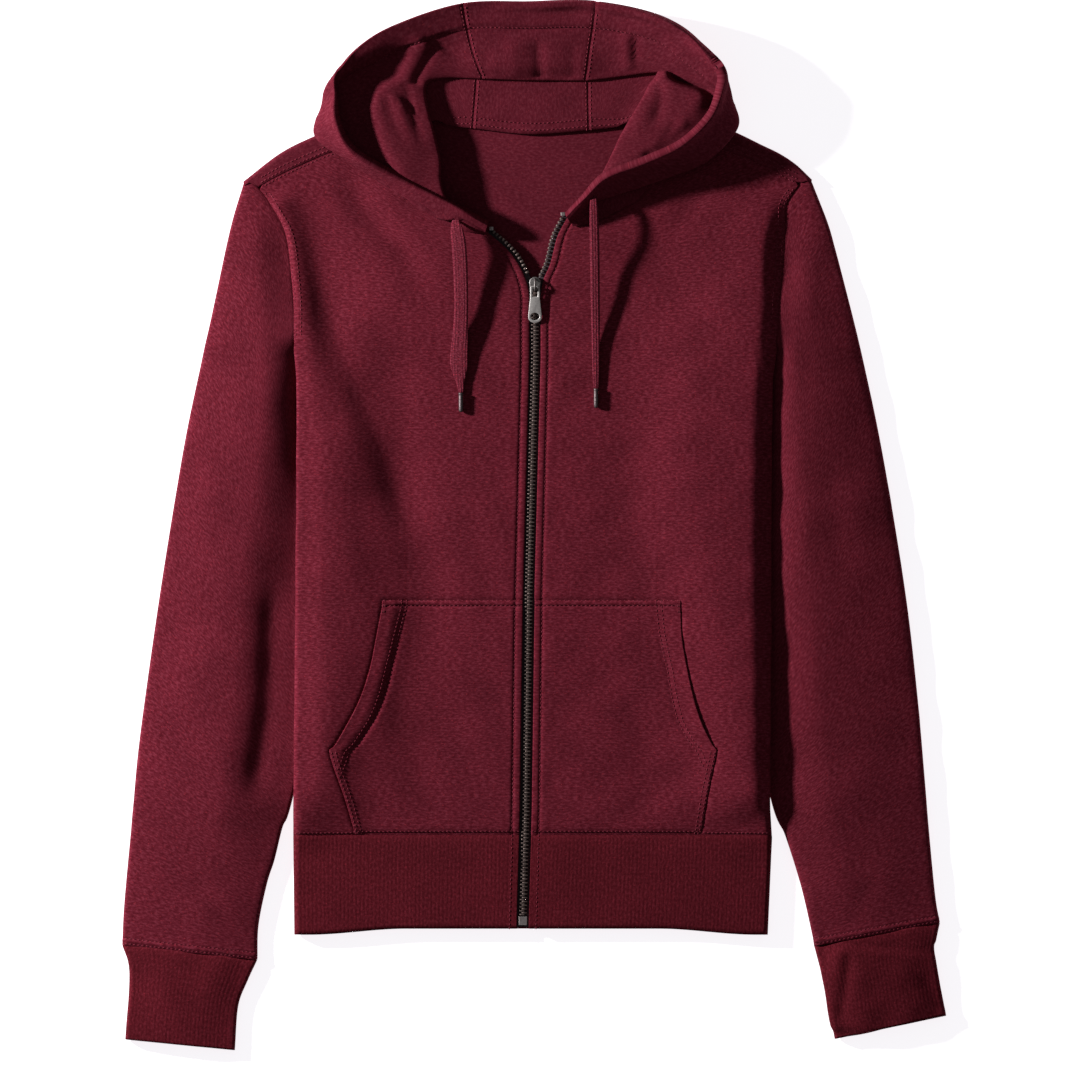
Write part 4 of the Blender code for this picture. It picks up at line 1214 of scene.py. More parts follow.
@dataclass
class BackPanel:
    """The back: a layer on the table, folded over the shoulders to the seams in front. Sizes are in mm."""

    relief: Relief
    columns: int = 120
    fold_radius: float = (EDGE_MIDDLE - HALF) / 2

    def rows(self) -> Points:
        """The panel's grid, from the waistband seam to the shoulders and over them."""
        across = np.linspace(0, 1, self.columns)
        rows = []
        for y in np.linspace(BAND_SEAM + SEAM_GAP, UNDERARM, 50)[:-1]:
            x, z = back_point(-side_seam(LEFT, y) + 0.3, side_seam(RIGHT, y) - 0.3, y, across)
            rows.append(np.column_stack([x, np.full(x.shape, y), z]))
        holes = {side.sign: armhole_path(side, -2 * SEAM_GAP) for side in SIDES}
        count = len(holes[1])
        top_from = float(np.argmax(holes[1][:, 1] >= ARMHOLE_TOP)) / count
        for index in range(count):
            left, right = holes[-1][index], holes[1][index]
            share = max(0.0, (index / (count - 1) - top_from) / (1 - top_from))
            x, z = back_point(-left[0], right[0], (left[1] + right[1]) / 2, across)
            y = left[1] + (right[1] - left[1]) * across
            if share > 0:
                for side in SIDES:
                    mine = x < 0 if side is LEFT else x >= 0
                    end = holes[side.sign][-1]
                    top = shoulder_line(side, np.abs(x) * end[0] / holes[side.sign][index][0])
                    chord = holes[-1][-1][1] * (1 - across) + holes[1][-1][1] * across
                    y = np.where(mine, y + share**1.3 * (top - HALF - self.fold_radius - chord), y)
            rows.append(np.column_stack([x, y, z]))
        rows.extend(self.shoulder_fold(rows[-1]))
        return np.array(rows)

    def shoulder_fold(self, base: Points) -> list[Points]:
        """Rows that fold the back's top edge forwards, and stay flat under the hood."""
        x, y, z = base.T
        folded = smoothstep((np.abs(x) - 112) / 36)
        turns = np.concatenate([np.linspace(0, math.pi, 13)[1:], np.full(7, math.pi)])
        rows = []
        end = np.where(x < 0, strip_end(LEFT, np.abs(x)), strip_end(RIGHT, np.abs(x))) - 0.3
        turned_y = y + self.fold_radius * math.sin(math.pi)
        for step, turn in enumerate(turns):
            over_y = y + self.fold_radius * math.sin(turn)
            over_z = z + self.fold_radius * (1 - math.cos(turn))
            past = max(0, step - 11) / 7
            over_y = over_y + (np.minimum(end, turned_y - 0.2) - turned_y) * past
            flat_y = y + (step + 1) * 0.3
            rows.append(np.column_stack([x, flat_y + (over_y - flat_y) * folded, z + (over_z - z) * folded]))
        return rows

    def build(self) -> Cloth:
        """Makes the panel, with shallow hollows pressed up into its underside."""
        cloth = Cloth("back", self.rows())
        x, y = cloth.grid[:, :, 0], cloth.grid[:, :, 1]
        cloth.press(np.abs(self.relief.at(x, y)) * smoothstep((270 - y) / 40))
        obj = cloth.build(BRUSHED)
        return cloth


def hem_curve(x: Points, y: float) -> Points:
    """How far the waistband is pulled up here: its lower edge is hollow between the corners."""
    share = (BAND_SEAM - y) / (BAND_SEAM - BAND_BOTTOM)
    return HEM_HOLLOW * share * (1 - smoothstep((np.abs(x) - 105) / 80))


def ribs(run: Points, pitch: float, height: float) -> Points:
    """Raised wales of a rib knit, with narrow furrows between them."""
    wave = 0.5 + 0.5 * np.cos(math.tau * run / pitch)
    return height * (wave**0.7 * 2 - 1)


@dataclass
class Waistband:
    """The rib band, one strip from the zip round the back to the zip. Sizes are in mm."""

    reliefs: tuple[Relief, Relief]
    rib_pitch: float = 3.3
    rib_height: float = 0.055
    column: float = 0.66
    under_reach: float = 150.0
    levels: int = 20

    def build(self) -> Cloth:
        """Makes the band with its wales and its drawn-in seam."""
        count = int(193 / self.column)
        marks = np.concatenate([
            np.linspace(0, TOP_SHARE, int(count * TOP_SHARE)),
            np.linspace(TOP_SHARE, 1, int(count * 0.1) + 1)[1:],
            np.linspace(1, 2, 32)[1:],
            np.linspace(2, 3, 60)[1:],
        ])
        rows = []
        top = BAND_SEAM - SEAM_GAP
        levels = np.linspace(top - 3.2, BAND_BOTTOM, self.levels)
        for y in np.concatenate([[top, top - 0.8, top - 1.8], levels]):
            halves = [fold_row(side, y, float(zip_out(side, y)), self.under_reach, marks) for side in SIDES]
            middle = [(x, y, HALF) for x in np.linspace(-self.under_reach, self.under_reach, 300)[1:-1]]
            row = np.vstack([halves[0], middle, halves[1][::-1]])
            row[:, 1] += hem_curve(row[:, 0], y)
            rows.append(row)
        cloth = Cloth("waistband", np.array(rows))
        x, y = cloth.grid[:, :, 0], cloth.grid[:, :, 1]
        from_seam = cloth.along()
        drawn_in = smoothstep((y - BAND_SEAM + 50) / 50)
        cloth.press(np.where(x < 0, self.reliefs[0].at(x, y), self.reliefs[1].at(x, y)) * drawn_in)
        cloth.press(-0.8 * peak(from_seam, 0, 2.0))
        run = np.median(cloth.across(), axis=0)[None, :] + np.zeros(x.shape)
        edge = smoothstep(from_seam / 2.0) * smoothstep((from_seam[-1:] - from_seam) / 2.0)
        near_zip = smoothstep((np.minimum(run, run[:, -1:] - run) - 2) / 4)
        cloth.press(ribs(run, self.rib_pitch, self.rib_height) * edge * near_zip, everywhere=True)
        obj = cloth.build(RIB)
        return cloth


@dataclass
class Pocket:
    """A kangaroo pocket half: it lies on the front, from its top stitching to the waistband seam.

    hem has rows of a level and how far the opening's stitching lies from its edge; stand has rows
    of a level and how high that edge stands over the front, which is least where it is sewn down.
    """

    side: Side
    relief: Relief
    stand: Table
    trough: float
    zip_gap: float = 0.2
    zip_in: float = 6.0
    levels: int = 82
    hem: Table = (
        (-212, 1.5), (-200, 11), (-189, 18), (-165, 20), (-120, 17), (-66, 20.7),
    )

    def rows(self) -> Points:
        """The pocket's grid, with more points beside its edges."""
        side = self.side
        opening = smooth_path(side.pocket_opening, 6)[::-1]
        marks = [np.arange(0, 12, 0.8), np.linspace(12, 113, 44)[:-1], np.linspace(113, 140, 32)]
        marks = np.concatenate(marks) / 140
        ends = np.arange(0.0, 9.0, 0.8)
        between = np.linspace(POCKET_TOP - 10.4, -255.8, self.levels)
        rows = []
        for y in np.concatenate([POCKET_TOP - ends, between, -258.5 + ends[2::-1]]):
            outer = float(np.interp(y, opening[:, 1], opening[:, 0]))
            inner = float(zip_out(side, y)) + self.zip_gap
            out = inner + (outer - inner) * marks
            z = top_height(side, out, y) - HALF + POCKET_RISE
            rows.append(np.column_stack([out * side.sign, np.full(out.shape, y), z]))
        return np.array(rows)

    def build(self) -> Cloth:
        """Makes the pocket with its turned and sewn edges."""
        cloth = Cloth(f"pocket_{self.side.name}", self.rows())
        run, from_top = cloth.across(), cloth.along()
        from_opening, from_band = run[:, -1:] - run, from_top[-1:] - from_top
        cloth.shape(self.relief, smoothstep((run - 4) / 16))
        y = cloth.grid[:, :, 1]
        hem, stand = value_at(self.hem, y), value_at(self.stand, y)
        strength = self.trough * (0.2 + 0.8 * smoothstep((-80 - y) / 45)) * smoothstep((y + 206) / 34)
        cloth.press(-strength * peak(from_opening, hem, 2.6) * smoothstep((y + 213) / 8))
        cloth.press(0.35 * self.trough * peak(from_opening, hem / 2, 5))
        cloth.press((stand - POCKET_RISE) * peak(from_opening, 0, np.where(stand > POCKET_RISE, 6, 2)))
        cloth.press(-0.9 * peak(run, self.zip_in, 1.5) - 0.4 * np.exp(-run / 1.2))
        cloth.press(-0.8 * peak(from_top, 0, 1.0) - 1.1 * peak(from_top, 5.2, 1.1))
        cloth.press(-1.1 * peak(from_top, 0.8, 0.9))
        cloth.press(-(0.9 + POCKET_RISE) * peak(from_band, 0, 2.2))
        obj = cloth.build(JERSEY)
        return cloth


# ---- sleeves and cuffs


def tube_ring(
    plan: Callable[[Points], Points],
    length: float,
    height: Callable[[Points, Points, Points], Points],
    columns: tuple[int, int, int],
) -> Points:
    """One ring of a flattened tube, given its plan line from the outer fold to the inner one.

    Args:
        plan: gives (out, y) for shares of the line.
        length: the line's length.
        height: the middle of the upper wall for out, y and the distance from the outer fold.
        columns: how many points round each fold, over the upper wall and along the under wall.

    Returns:
        The ring's (out, y, z) points.
    """

    def top_at(from_edge: Points) -> Points:
        """The middle of the upper wall at this distance from the outer fold."""
        at = plan(from_edge / length)
        return height(at[:, 0], at[:, 1], from_edge)

    outer_radius = (float(top_at(np.array([HALF]))[0]) - HALF) / 2
    inner_radius = (float(top_at(np.array([length - HALF]))[0]) - HALF) / 2
    turns = np.radians(np.linspace(-90, 90, columns[0]))
    first = HALF + outer_radius * (1 - np.cos(turns))
    last = HALF + inner_radius * (1 - np.cos(turns))
    upper = np.linspace(first[-1], length - last[-1], columns[1] + 2)[1:-1]
    under = np.linspace(length - last[-1], first[0], columns[2] + 2)[1:-1]
    reach = np.concatenate([first, upper, (length - last)[::-1], under])
    level = np.concatenate([
        HALF + outer_radius * (1 + np.sin(turns)), top_at(upper),
        (HALF + inner_radius * (1 + np.sin(turns)))[::-1], np.full(under.shape, HALF),
    ])
    return np.column_stack([plan(reach / length), level])


@dataclass
class Sleeve:
    """A sleeve: a flattened tube whose first ring follows the armhole. Sizes are in mm.

    crest has a row for each level: y, how far out the sleeve is highest, its height there, and
    how softly it slopes down beside the body, from 0 for a round turn to 1 for an even slope.
    """

    side: Side
    relief: Relief
    crest: Table
    rings: int = 240
    columns: tuple[int, int, int] = (9, 56, 26)
    cap: float = 3.5
    spans: float = 11.0

    def rows(self) -> Points:
        """The sleeve's rings, from the armhole to the cuff seam."""
        side = self.side
        hole = armhole_path(side, -SEAM_LAP)[::-1]
        run = run_along(hole)
        shares = run / run[-1]
        bend = hole - (hole[0] + (hole[-1] - hole[0]) * shares[:, None])
        down = np.concatenate([np.linspace(0, 0.982, self.rings)[:-1], np.linspace(0.982, 1, 15)])
        outer = resample(smooth_path([hole[0], *side.sleeve_outer[1:]]), down)
        inner = resample(smooth_path([hole[-1], *side.sleeve_inner[1:]]), down)
        rings = []
        for share_down, start, stop in zip(down, outer, inner):
            keep = max(0.0, 1 - share_down * self.spans / self.cap)

            def plan(
                share: Points, start: Points = start, stop: Points = stop, keep: float = keep
            ) -> Points:
                """The ring's plan line, bent like the armhole near it."""
                share = np.asarray(share)[:, None]
                extra = np.column_stack([np.interp(share[:, 0], shares, bend[:, axis]) for axis in (0, 1)])
                return start + (stop - start) * share + extra * keep

            straight = float(np.linalg.norm(stop - start))
            length = straight + (run[-1] - straight) * keep
            rings.append(tube_ring(plan, length, self.height, self.columns) * (side.sign, 1, 1))
        return np.array(rings)

    def height(self, out: Points, y: Points, from_edge: Points) -> Points:
        """The middle of the upper wall.

        Args:
            out: how far out the points are.
            y: their levels.
            from_edge: how far they are from the sleeve's outer fold.

        Returns:
            The heights in mm.
        """
        side = self.side
        levels, *columns = np.array(self.crest[::-1], float).T
        top_out, top, soft = (np.interp(y, levels, column) for column in columns)
        outward = np.maximum(out - top_out, 0.0)
        outside = top + (EDGE_MIDDLE - top) * (outward / (from_edge + outward + 1e-6)) ** 1.35
        edge = out_at(side.body_edge, y)
        inward = np.clip((out - edge) / (top_out - edge), 0, 1)
        turned = (1 - soft) * (1 - (1 - inward) ** 2) + soft * smoothstep(inward)
        beside = np.where(outward > 0, outside, TUCK_MIDDLE + (top - TUCK_MIDDLE) * turned)
        seam = armhole_out(side, y)
        at_seam = top_height(side, seam, y) - HALF
        met = at_seam + (outside - at_seam) * smoothstep((out - seam) / 30)
        return beside + (met - beside) * smoothstep((y - 137) / 20)

    def build(self) -> Cloth:
        """Makes the sleeve with its creases."""
        cloth = Cloth(f"sleeve_{self.side.name}", self.rows(), ring=True)
        from_arm = cloth.along()
        from_cuff = from_arm[-1:] - from_arm
        cloth.shape(self.relief, smoothstep(from_arm / 14) * (0.35 + 0.65 * smoothstep(from_cuff / 60)))
        rows = peak(from_cuff, 1.8, 0.9) + peak(from_cuff, 5.6, 0.9)
        cloth.press(-0.7 * peak(from_cuff, 0, 1.4) - 0.5 * rows + 0.5 * peak(from_cuff, 3.7, 3))
        cloth.press(-1.3 * peak(from_arm, 0, 3.0))
        obj = cloth.build(JERSEY)
        return cloth


@dataclass
class Cuff:
    """A rib cuff: a short flattened tube at the sleeve's end."""

    side: Side
    relief: Relief
    rings: int = 36
    columns: tuple[int, int, int] = (12, 140, 110)
    rib_pitch: float = 3.3
    rib_height: float = 0.055
    seam_up: float = 0.55

    def build(self) -> Cloth:
        """Makes the cuff with its wales."""
        side = self.side
        ends = np.array([[*start, *stop] for start, stop in side.cuff])
        ends[0] += (0.0, self.seam_up, 0.0, self.seam_up)
        lines = resample(smooth_path(ends, 12), np.linspace(0, 1, self.rings))
        rings = []
        for line in lines:
            start, stop = line[:2], line[2:]
            length = float(np.linalg.norm(stop - start))

            def plan(share: Points, start: Points = start, stop: Points = stop) -> Points:
                """The ring's plan line."""
                return start + (stop - start) * np.asarray(share)[:, None]

            def height(out: Points, y: Points, from_edge: Points, length: float = length) -> Points:
                """The middle of the cuff's upper wall."""
                inner = np.minimum(from_edge, length - from_edge)
                return EDGE_MIDDLE + (CROWN_MIDDLE - EDGE_MIDDLE) * smoothstep(inner / 34)

            rings.append(tube_ring(plan, length, height, self.columns) * (side.sign, 1, 1))
        cloth = Cloth(f"cuff_{side.name}", np.array(rings), ring=True)
        cloth.shape(self.relief)
        from_seam = cloth.along()
        cloth.press(-0.9 * peak(from_seam, 0, 3.0))
        run = cloth.across()
        whole = np.median(run[:, -1])
        count = round(whole / self.rib_pitch)
        steps = run / run[:, -1:] * count
        edge = smoothstep(from_seam / 2.0) * smoothstep((from_seam[-1:] - from_seam) / 1.5)
        cloth.press(ribs(steps, 1.0, self.rib_height) * edge, everywhere=True)
        obj = cloth.build(RIB)
        return cloth


# ---- hood

# Hood sections, from the zip's left end round to its right end. A row is one section from the
# neck seam to the rim: the neck seam, the fold that shows as an edge over it, the valley beyond
# that fold, the outer base, and the rim.
HOOD = (
    # neck x, y, z;        fold x, y, z;          valley x, y, z;        base x, y, z;          rim x, y, z
    (
        (-39.8, 240.2, 10.2), (-38.9, 242.4, 12.6), (-38.4, 243.7, 13.8), (-37.9, 245.2, 15),
        (-37, 247.8, 16.8),
    ),
    ((-58, 242.6, 10.2), (-56.8, 248, 15), (-56.3, 250, 16.6), (-55.8, 252.4, 18.4), (-54.6, 257.6, 21.5)),
    ((-79, 250.5, 10.2), (-72.5, 266.5, 17), (-74.5, 262, 17), (-78, 252.5, 15.5), (-74, 268, 21.5)),
    ((-95.5, 272, 10.2), (-79, 284, 17.5), (-101, 286, 17), (-119, 278, 15), (-110, 286, 23.5)),
    ((-101, 298, 10), (-81.5, 302, 15.8), (-130, 306, 15), (-157, 303, 16), (-146.5, 307, 28.5)),
    ((-98, 322, 9.4), (-88.5, 330, 15.2), (-140, 330, 14.5), (-179.5, 321, 16), (-160, 330, 30.5)),
    ((-82, 333, 7), (-94, 354, 13), (-145, 352, 14), (-174, 344, 19), (-163, 354, 30.5)),
    ((-72, 330, 5), (-91, 367, 11.4), (-143, 372, 14.5), (-167, 364, 24), (-162, 373, 31)),
    ((-60, 328, 4.8), (-74, 370.5, 10.4), (-121, 381, 16), (-135, 389.5, 26), (-142.7, 395.6, 29.5)),
    ((-55, 327.5, 4.8), (-56, 370.8, 10.2), (-87, 389, 15), (-105, 402, 22.5), (-112, 413.4, 26)),
    ((-49.4, 327, 4.8), (-42, 370.5, 10.2), (-50, 392, 14), (-56.6, 421, 19.5), (-58, 430.6, 22)),
    ((-2, 322, 4.8), (-2, 369.5, 10), (-2, 395, 14), (-2, 422, 18.5), (-2, 431.8, 20.5)),
    ((46.9, 325.5, 4.8), (44.4, 369.5, 10.2), (48, 395, 14), (52, 422, 19.5), (53.4, 431.7, 22)),
    ((58, 326.5, 4.8), (76, 372, 11.5), (90, 389, 16.5), (104.5, 411, 27), (108.4, 418.4, 31)),
    ((70, 328, 5), (98, 374, 14), (118, 378, 20), (136, 390.5, 30), (140.4, 396, 34)),
    ((82, 332, 7), (107, 373, 17), (135, 367, 22), (157, 370.5, 30), (155.5, 375.5, 37)),
    ((95, 324, 9.4), (101, 361, 19), (138, 354, 22), (165, 349, 23), (154, 357, 38)),
    ((98, 303, 10), (90, 342, 19), (128, 333, 21), (169, 327, 17.5), (145, 336, 38)),
    ((97, 284, 10.2), (77, 321, 17.5), (108, 316, 20), (144, 300, 16.5), (122.5, 314.6, 37)),
    ((88, 268, 10.2), (68, 304, 16.5), (84, 303, 18), (108, 285, 16), (92.5, 300.5, 35)),
    ((68, 257, 10.2), (58.5, 286, 16.5), (60, 284, 17.5), (68, 271.5, 16), (60, 288, 31)),
    ((50, 249, 10.2), (45.5, 258.5, 15.5), (44.5, 261, 17), (43.5, 263.5, 19), (41.5, 269.5, 23)),
    ((33.5, 246, 10.2), (31, 249.8, 12.8), (30, 251.2, 13.9), (29, 252.8, 15), (27.5, 255, 16.5)),
)


def with_edge_rows(table: Points, share: float = 0.2) -> Points:
    """A grid with one more row just inside its first row and its last one."""
    first = table[:1] + (table[1:2] - table[:1]) * share
    last = table[-1:] + (table[-2:-1] - table[-1:]) * share
    return np.concatenate([table[:1], first, table[1:-1], last, table[-1:]])


@dataclass
class Hood:
    """The three hood panels, with the doubled casing along the rim. Sizes are in mm."""

    relief: Relief
    seam_rows: tuple[int, int] = (10, 12)
    curl: float = 14.0
    fold_depth: float = 5.0
    station_steps: int = 12
    rail_steps: int = 14
    casing: float = 22.0
    neck_stitch: float = 6.2
    lowest: float = 4.4

    def sections(self) -> Points:
        """The hood's grid: one row for each section, from the neck seam to the rim."""
        rails = []
        for section in HOOD:
            neck, fold, valley, base, rim = (np.array(point, float) for point in section)
            away = valley[:2] - fold[:2]
            span = np.linalg.norm(away)
            share = min(1.0, span / 30)
            curl = fold.copy()
            curl[:2] += away / span * self.curl * share * 0.9
            curl[2] = neck[2] + (fold[2] - neck[2]) * 0.35
            curl = curl * share + (neck + (fold - neck) * 0.4) * (1 - share)
            under = fold.copy()
            under[:2] += away / span * share
            under[2] -= min(self.fold_depth, 0.45 * (fold[2] - neck[2])) * share + 0.9 * (1 - share)
            rails.append([neck, curl, under, fold, valley, base, rim])
        rails = np.array(rails)
        stations = [smooth_path(rails[:, rail], self.station_steps) for rail in range(rails.shape[1])]
        return np.array([smooth_path(row, self.rail_steps) for row in np.stack(stations, axis=1)])

    def build(self) -> list[Cloth]:
        """Makes the three panels from one pressed form."""
        whole = Cloth("hood", self.sections())
        whole.shape(self.relief)
        run = whole.across()
        from_rim = run[:, -1:] - run
        x, y = whole.grid[:, :, 0], whole.grid[:, :, 1]
        doubled = 1.0 - smoothstep((from_rim - self.casing + 0.9) / 1.8)
        whole.press(1.5 * doubled - 1.1 * peak(from_rim, self.casing, 1.3))
        whole.press(-1.0 * peak(run, self.neck_stitch, 1.8))
        rolled = 1 - smoothstep((y - 335) / 25) * smoothstep((20 - x) / 60)
        whole.press(-1.2 * peak(from_rim, 9.0, 1.4) * rolled * smoothstep(-x / 20), everywhere=True)
        whole.grid[:, :, 2] = np.maximum(whole.grid[:, :, 2], self.lowest)
        hem = smoothstep((10 - from_rim) / 7) * rolled
        first, second = (self.station_steps * row for row in self.seam_rows)
        parts = (
            ("hood_left", slice(0, first + 1), (0.34, 0.09)),
            ("hood_centre", slice(first, second + 1), (0.11, 0.13)),
            ("hood_right", slice(second, len(run)), (0.34, 0.09)),
        )
        panels = []
        for name, part, flat in parts:
            cloth = Cloth(name, with_edge_rows(whole.grid[part]), hem=with_edge_rows(hem[part]))
            sunk = np.zeros(cloth.grid.shape[:2])
            sunk[0] = 0.0 if name == "hood_left" else -0.8
            sunk[-1] = 0.0 if name == "hood_right" else -0.8
            cloth.press(sunk)
            obj = cloth.build(BRUSHED)
            panels.append(cloth)
        return panels


# ---- zip


@dataclass
class ZipFastener:
    """The zip: woven tapes, metal teeth, stops, slider and pull. Sizes are in mm."""

    tooth_pitch: float = 3.1
    tooth: tuple[float, float, float] = (4.6, 1.5, 2.0)
    open_tooth: tuple[float, float, float] = (3.0, 2.2, 2.0)

    def build(self) -> None:
        """Makes the tapes and teeth and dresses the metal parts."""
        for side in SIDES:
            self.tape(side)
            self.open_teeth(side)
        self.closed_teeth()
        for node in ("zip_top_stop_left", "zip_top_stop_right", "zip_bottom_stop"):
            self.dress(node, NICKEL)
        Slider().build(self.level())
        PullTab().build()
        log.info("zip: tapes, teeth, stops, slider and pull")

    def dress(self, node: str, finish: Metal) -> None:
        """Gives a packed metal part its finish."""
        data = bpy.data.objects[node].data
        data.materials.clear()
        data.materials.append(finish.material())

    def chain_path(self, side: Side) -> Points:
        """The chain's middle from the hem to the zip's top, on one side."""
        closed = [(side.sign * chain_x(y), y) for y in (-336, -240, -140, -40, 60, 150, 185)]
        return smooth_path([*closed, *side.open_chain])

    def tape(self, side: Side) -> None:
        """The woven tape that the front is sewn to."""
        path = resample(self.chain_path(side), np.linspace(0, 1, 160))
        inner, outer = path, offset_path(path, -TAPE_WIDTH)
        rows = []
        for start, stop in zip(inner, outer):
            start = start + (stop - start) / TAPE_WIDTH * CLEAR
            level = tape_level(side, min(start[1], stop[1], 190.0)) - TAPE / 2
            line = start + (stop - start) * np.linspace(0, 1, 12)[:, None]
            rows.append(np.column_stack([line[:, 0] * side.sign, line[:, 1], np.full(12, level)]))
        cloth = Cloth(f"zip_tape_{side.name}", np.array(rows), wall=TAPE)
        obj = cloth.build(TWILL)

    def level(self) -> float:
        """The underside of the teeth."""
        return float(tape_level(RIGHT, 0.0)) + CLEAR

    def form(self, size: tuple[float, float, float]) -> tuple[Points, list]:
        """One tooth: a bar with sloped shoulders and a rounded head, its length along x."""
        half, wide, high = size[0] / 2, size[1] / 2, size[2]
        layers = ((1.0, 1.0, 0.0), (1.0, 1.0, high * 0.62), (0.9, 0.62, high * 0.92), (0.7, 0.3, high))
        shape = [
            (half * long * a, wide * narrow * b, z)
            for long, narrow, z in layers
            for a, b in ((-1, -1), (1, -1), (1, 1), (-1, 1))
        ]
        return np.array(shape), [(3, 2, 1, 0), (12, 13, 14, 15), *grid_faces(4, 4, True)[2]]

    def teeth(
        self, name: str, path: Points, size: tuple[float, float, float], shift: float, sides: Sequence[int]
    ) -> None:
        """Teeth of a size along a plan path, alternately to each side given in turn."""
        run = run_along(path)
        count = int(run[-1] / (self.tooth_pitch / len(sides)))
        at = np.linspace(0, 1, count)
        points = resample(path, at)
        along = np.gradient(points, axis=0)
        along /= np.linalg.norm(along, axis=1)[:, None]
        across = np.column_stack([along[:, 1], -along[:, 0]])
        turn = np.array([sides[index % len(sides)] for index in range(count)])[:, None]
        middle = points + across * turn * shift
        origins = np.column_stack([middle, np.full(count, self.level())])
        zero = np.zeros(count)
        upright = np.tile([0.0, 0.0, 1.0], (count, 1))
        axes = np.stack([np.column_stack([across, zero]), np.column_stack([along, zero]), upright], axis=1)
        shape, faces = self.form(size)
        mesh = copies(name, shape, faces, origins, axes)
        add_piece(f"{name}_teeth", mesh, TEETH, [name])

    def closed_teeth(self) -> None:
        """The meshed teeth below the slider."""
        path = np.array([(chain_x(y), y) for y in np.linspace(-326, SLIDER_Y - 6.5, 60)])
        self.teeth("zip_chain", path, self.tooth, 1.0, (-1, 1))

    def open_teeth(self, side: Side) -> None:
        """The parted teeth above the slider."""
        edge = offset_path(smooth_path(side.open_chain), -1.0)
        path = resample(edge, np.linspace(0.06, 0.93, 30)) * (side.sign, 1)
        self.teeth(f"zip_chain_open_{side.name}", path, self.open_tooth, 0.0, (1,))


def plate(name: str, loops: Sequence[Points], thickness: float, rounding: float) -> Mesh:
    """A flat plate with rounded edges, in metres round its own middle.

    Args:
        name: the mesh's name.
        loops: its outline and then its holes, in mm.
        thickness: how thick it is, in mm.
        rounding: the radius of its edges, in mm.

    Returns:
        The plate's mesh, with no material.
    """
    curve = bpy.data.curves.new(name, "CURVE")
    curve.dimensions, curve.fill_mode = "2D", "BOTH"
    curve.extrude = (thickness / 2 - rounding) * MM
    curve.bevel_depth, curve.bevel_resolution = rounding * MM, 3
    curve.offset = -rounding * MM
    for loop in loops:
        spline = curve.splines.new("POLY")
        spline.points.add(len(loop) - 1)
        corners = np.column_stack([loop * MM, np.zeros(len(loop)), np.ones(len(loop))])
        spline.points.foreach_set("co", corners.ravel())
        spline.use_cyclic_u = True
    return drawn_mesh(curve)


def drawn_mesh(curve: Curve) -> Mesh:
    """The welded mesh of a curve, which is used up."""
    drawn = bpy.data.objects.new(curve.name, curve)
    bpy.context.scene.collection.objects.link(drawn)
    mesh = bpy.data.meshes.new_from_object(drawn.evaluated_get(bpy.context.evaluated_depsgraph_get()))
    bpy.data.objects.remove(drawn, do_unlink=True)
    grid = bmesh.new()
    grid.from_mesh(mesh)
    bmesh.ops.remove_doubles(grid, verts=grid.verts, dist=1e-6)
    bmesh.ops.recalc_face_normals(grid, faces=grid.faces)
    grid.to_mesh(mesh)
    grid.free()
    mesh.name = curve.name
    mesh.materials.clear()
    return mesh


@dataclass
class Slider:
    """The slider: a shield-shaped body with the arched bridge that the pull hangs on. Sizes are in mm.

    arch has rows of y and height from the pull's hinge.
    """

    hinge: tuple[float, float, float] = (2.1, 195.6, 12.5)
    half_crown: float = 4.9
    half_foot: float = 4.1
    thickness: float = 4.4
    wire: float = 0.9
    arch: Table = (
        (6.4, -3.4), (6, -1), (4.4, 0.9), (2.2, 2.1), (0, 2.4), (-2.2, 1.7), (-3.4, -0.2), (-3.6, -3.4),
    )

    def build(self, level: float) -> Object:
        """Makes the body from this level up, and its bridge."""
        turns = np.linspace(0, math.pi, 21)
        crown = np.column_stack([self.half_crown * np.cos(turns), 3.0 + self.half_crown * np.sin(turns)])
        low = self.half_foot
        foot = [(-low, -2.2), (-low + 0.6, -3.2), (low - 0.6, -3.2), (low, -2.2)]
        body = plate("zip_slider_body", [np.vstack([crown, foot])], self.thickness, 0.8)
        x, y, z = self.hinge
        body.transform(Matrix.Translation(place((x, y, level + self.thickness / 2))))
        curve = bpy.data.curves.new("slider bridge", "CURVE")
        curve.dimensions, curve.bevel_depth, curve.bevel_resolution = "3D", self.wire * MM, 4
        path = smooth_path(self.arch, 5)
        points = place(np.column_stack([np.full(len(path), x), y + path[:, 0], z + path[:, 1]]))
        spline = curve.splines.new("POLY")
        spline.points.add(len(points) - 1)
        spline.points.foreach_set("co", np.column_stack([points, np.ones(len(points))]).ravel())
        curve.use_fill_caps = True
        joined = bmesh.new()
        joined.from_mesh(body)
        joined.from_mesh(drawn_mesh(curve))
        joined.to_mesh(body)
        joined.free()
        body.shade_smooth()
        body.set_sharp_from_angle(angle=math.radians(40))
        return add_piece("zip_slider_body", body, DARK_ZINC, ["zip_slider"])


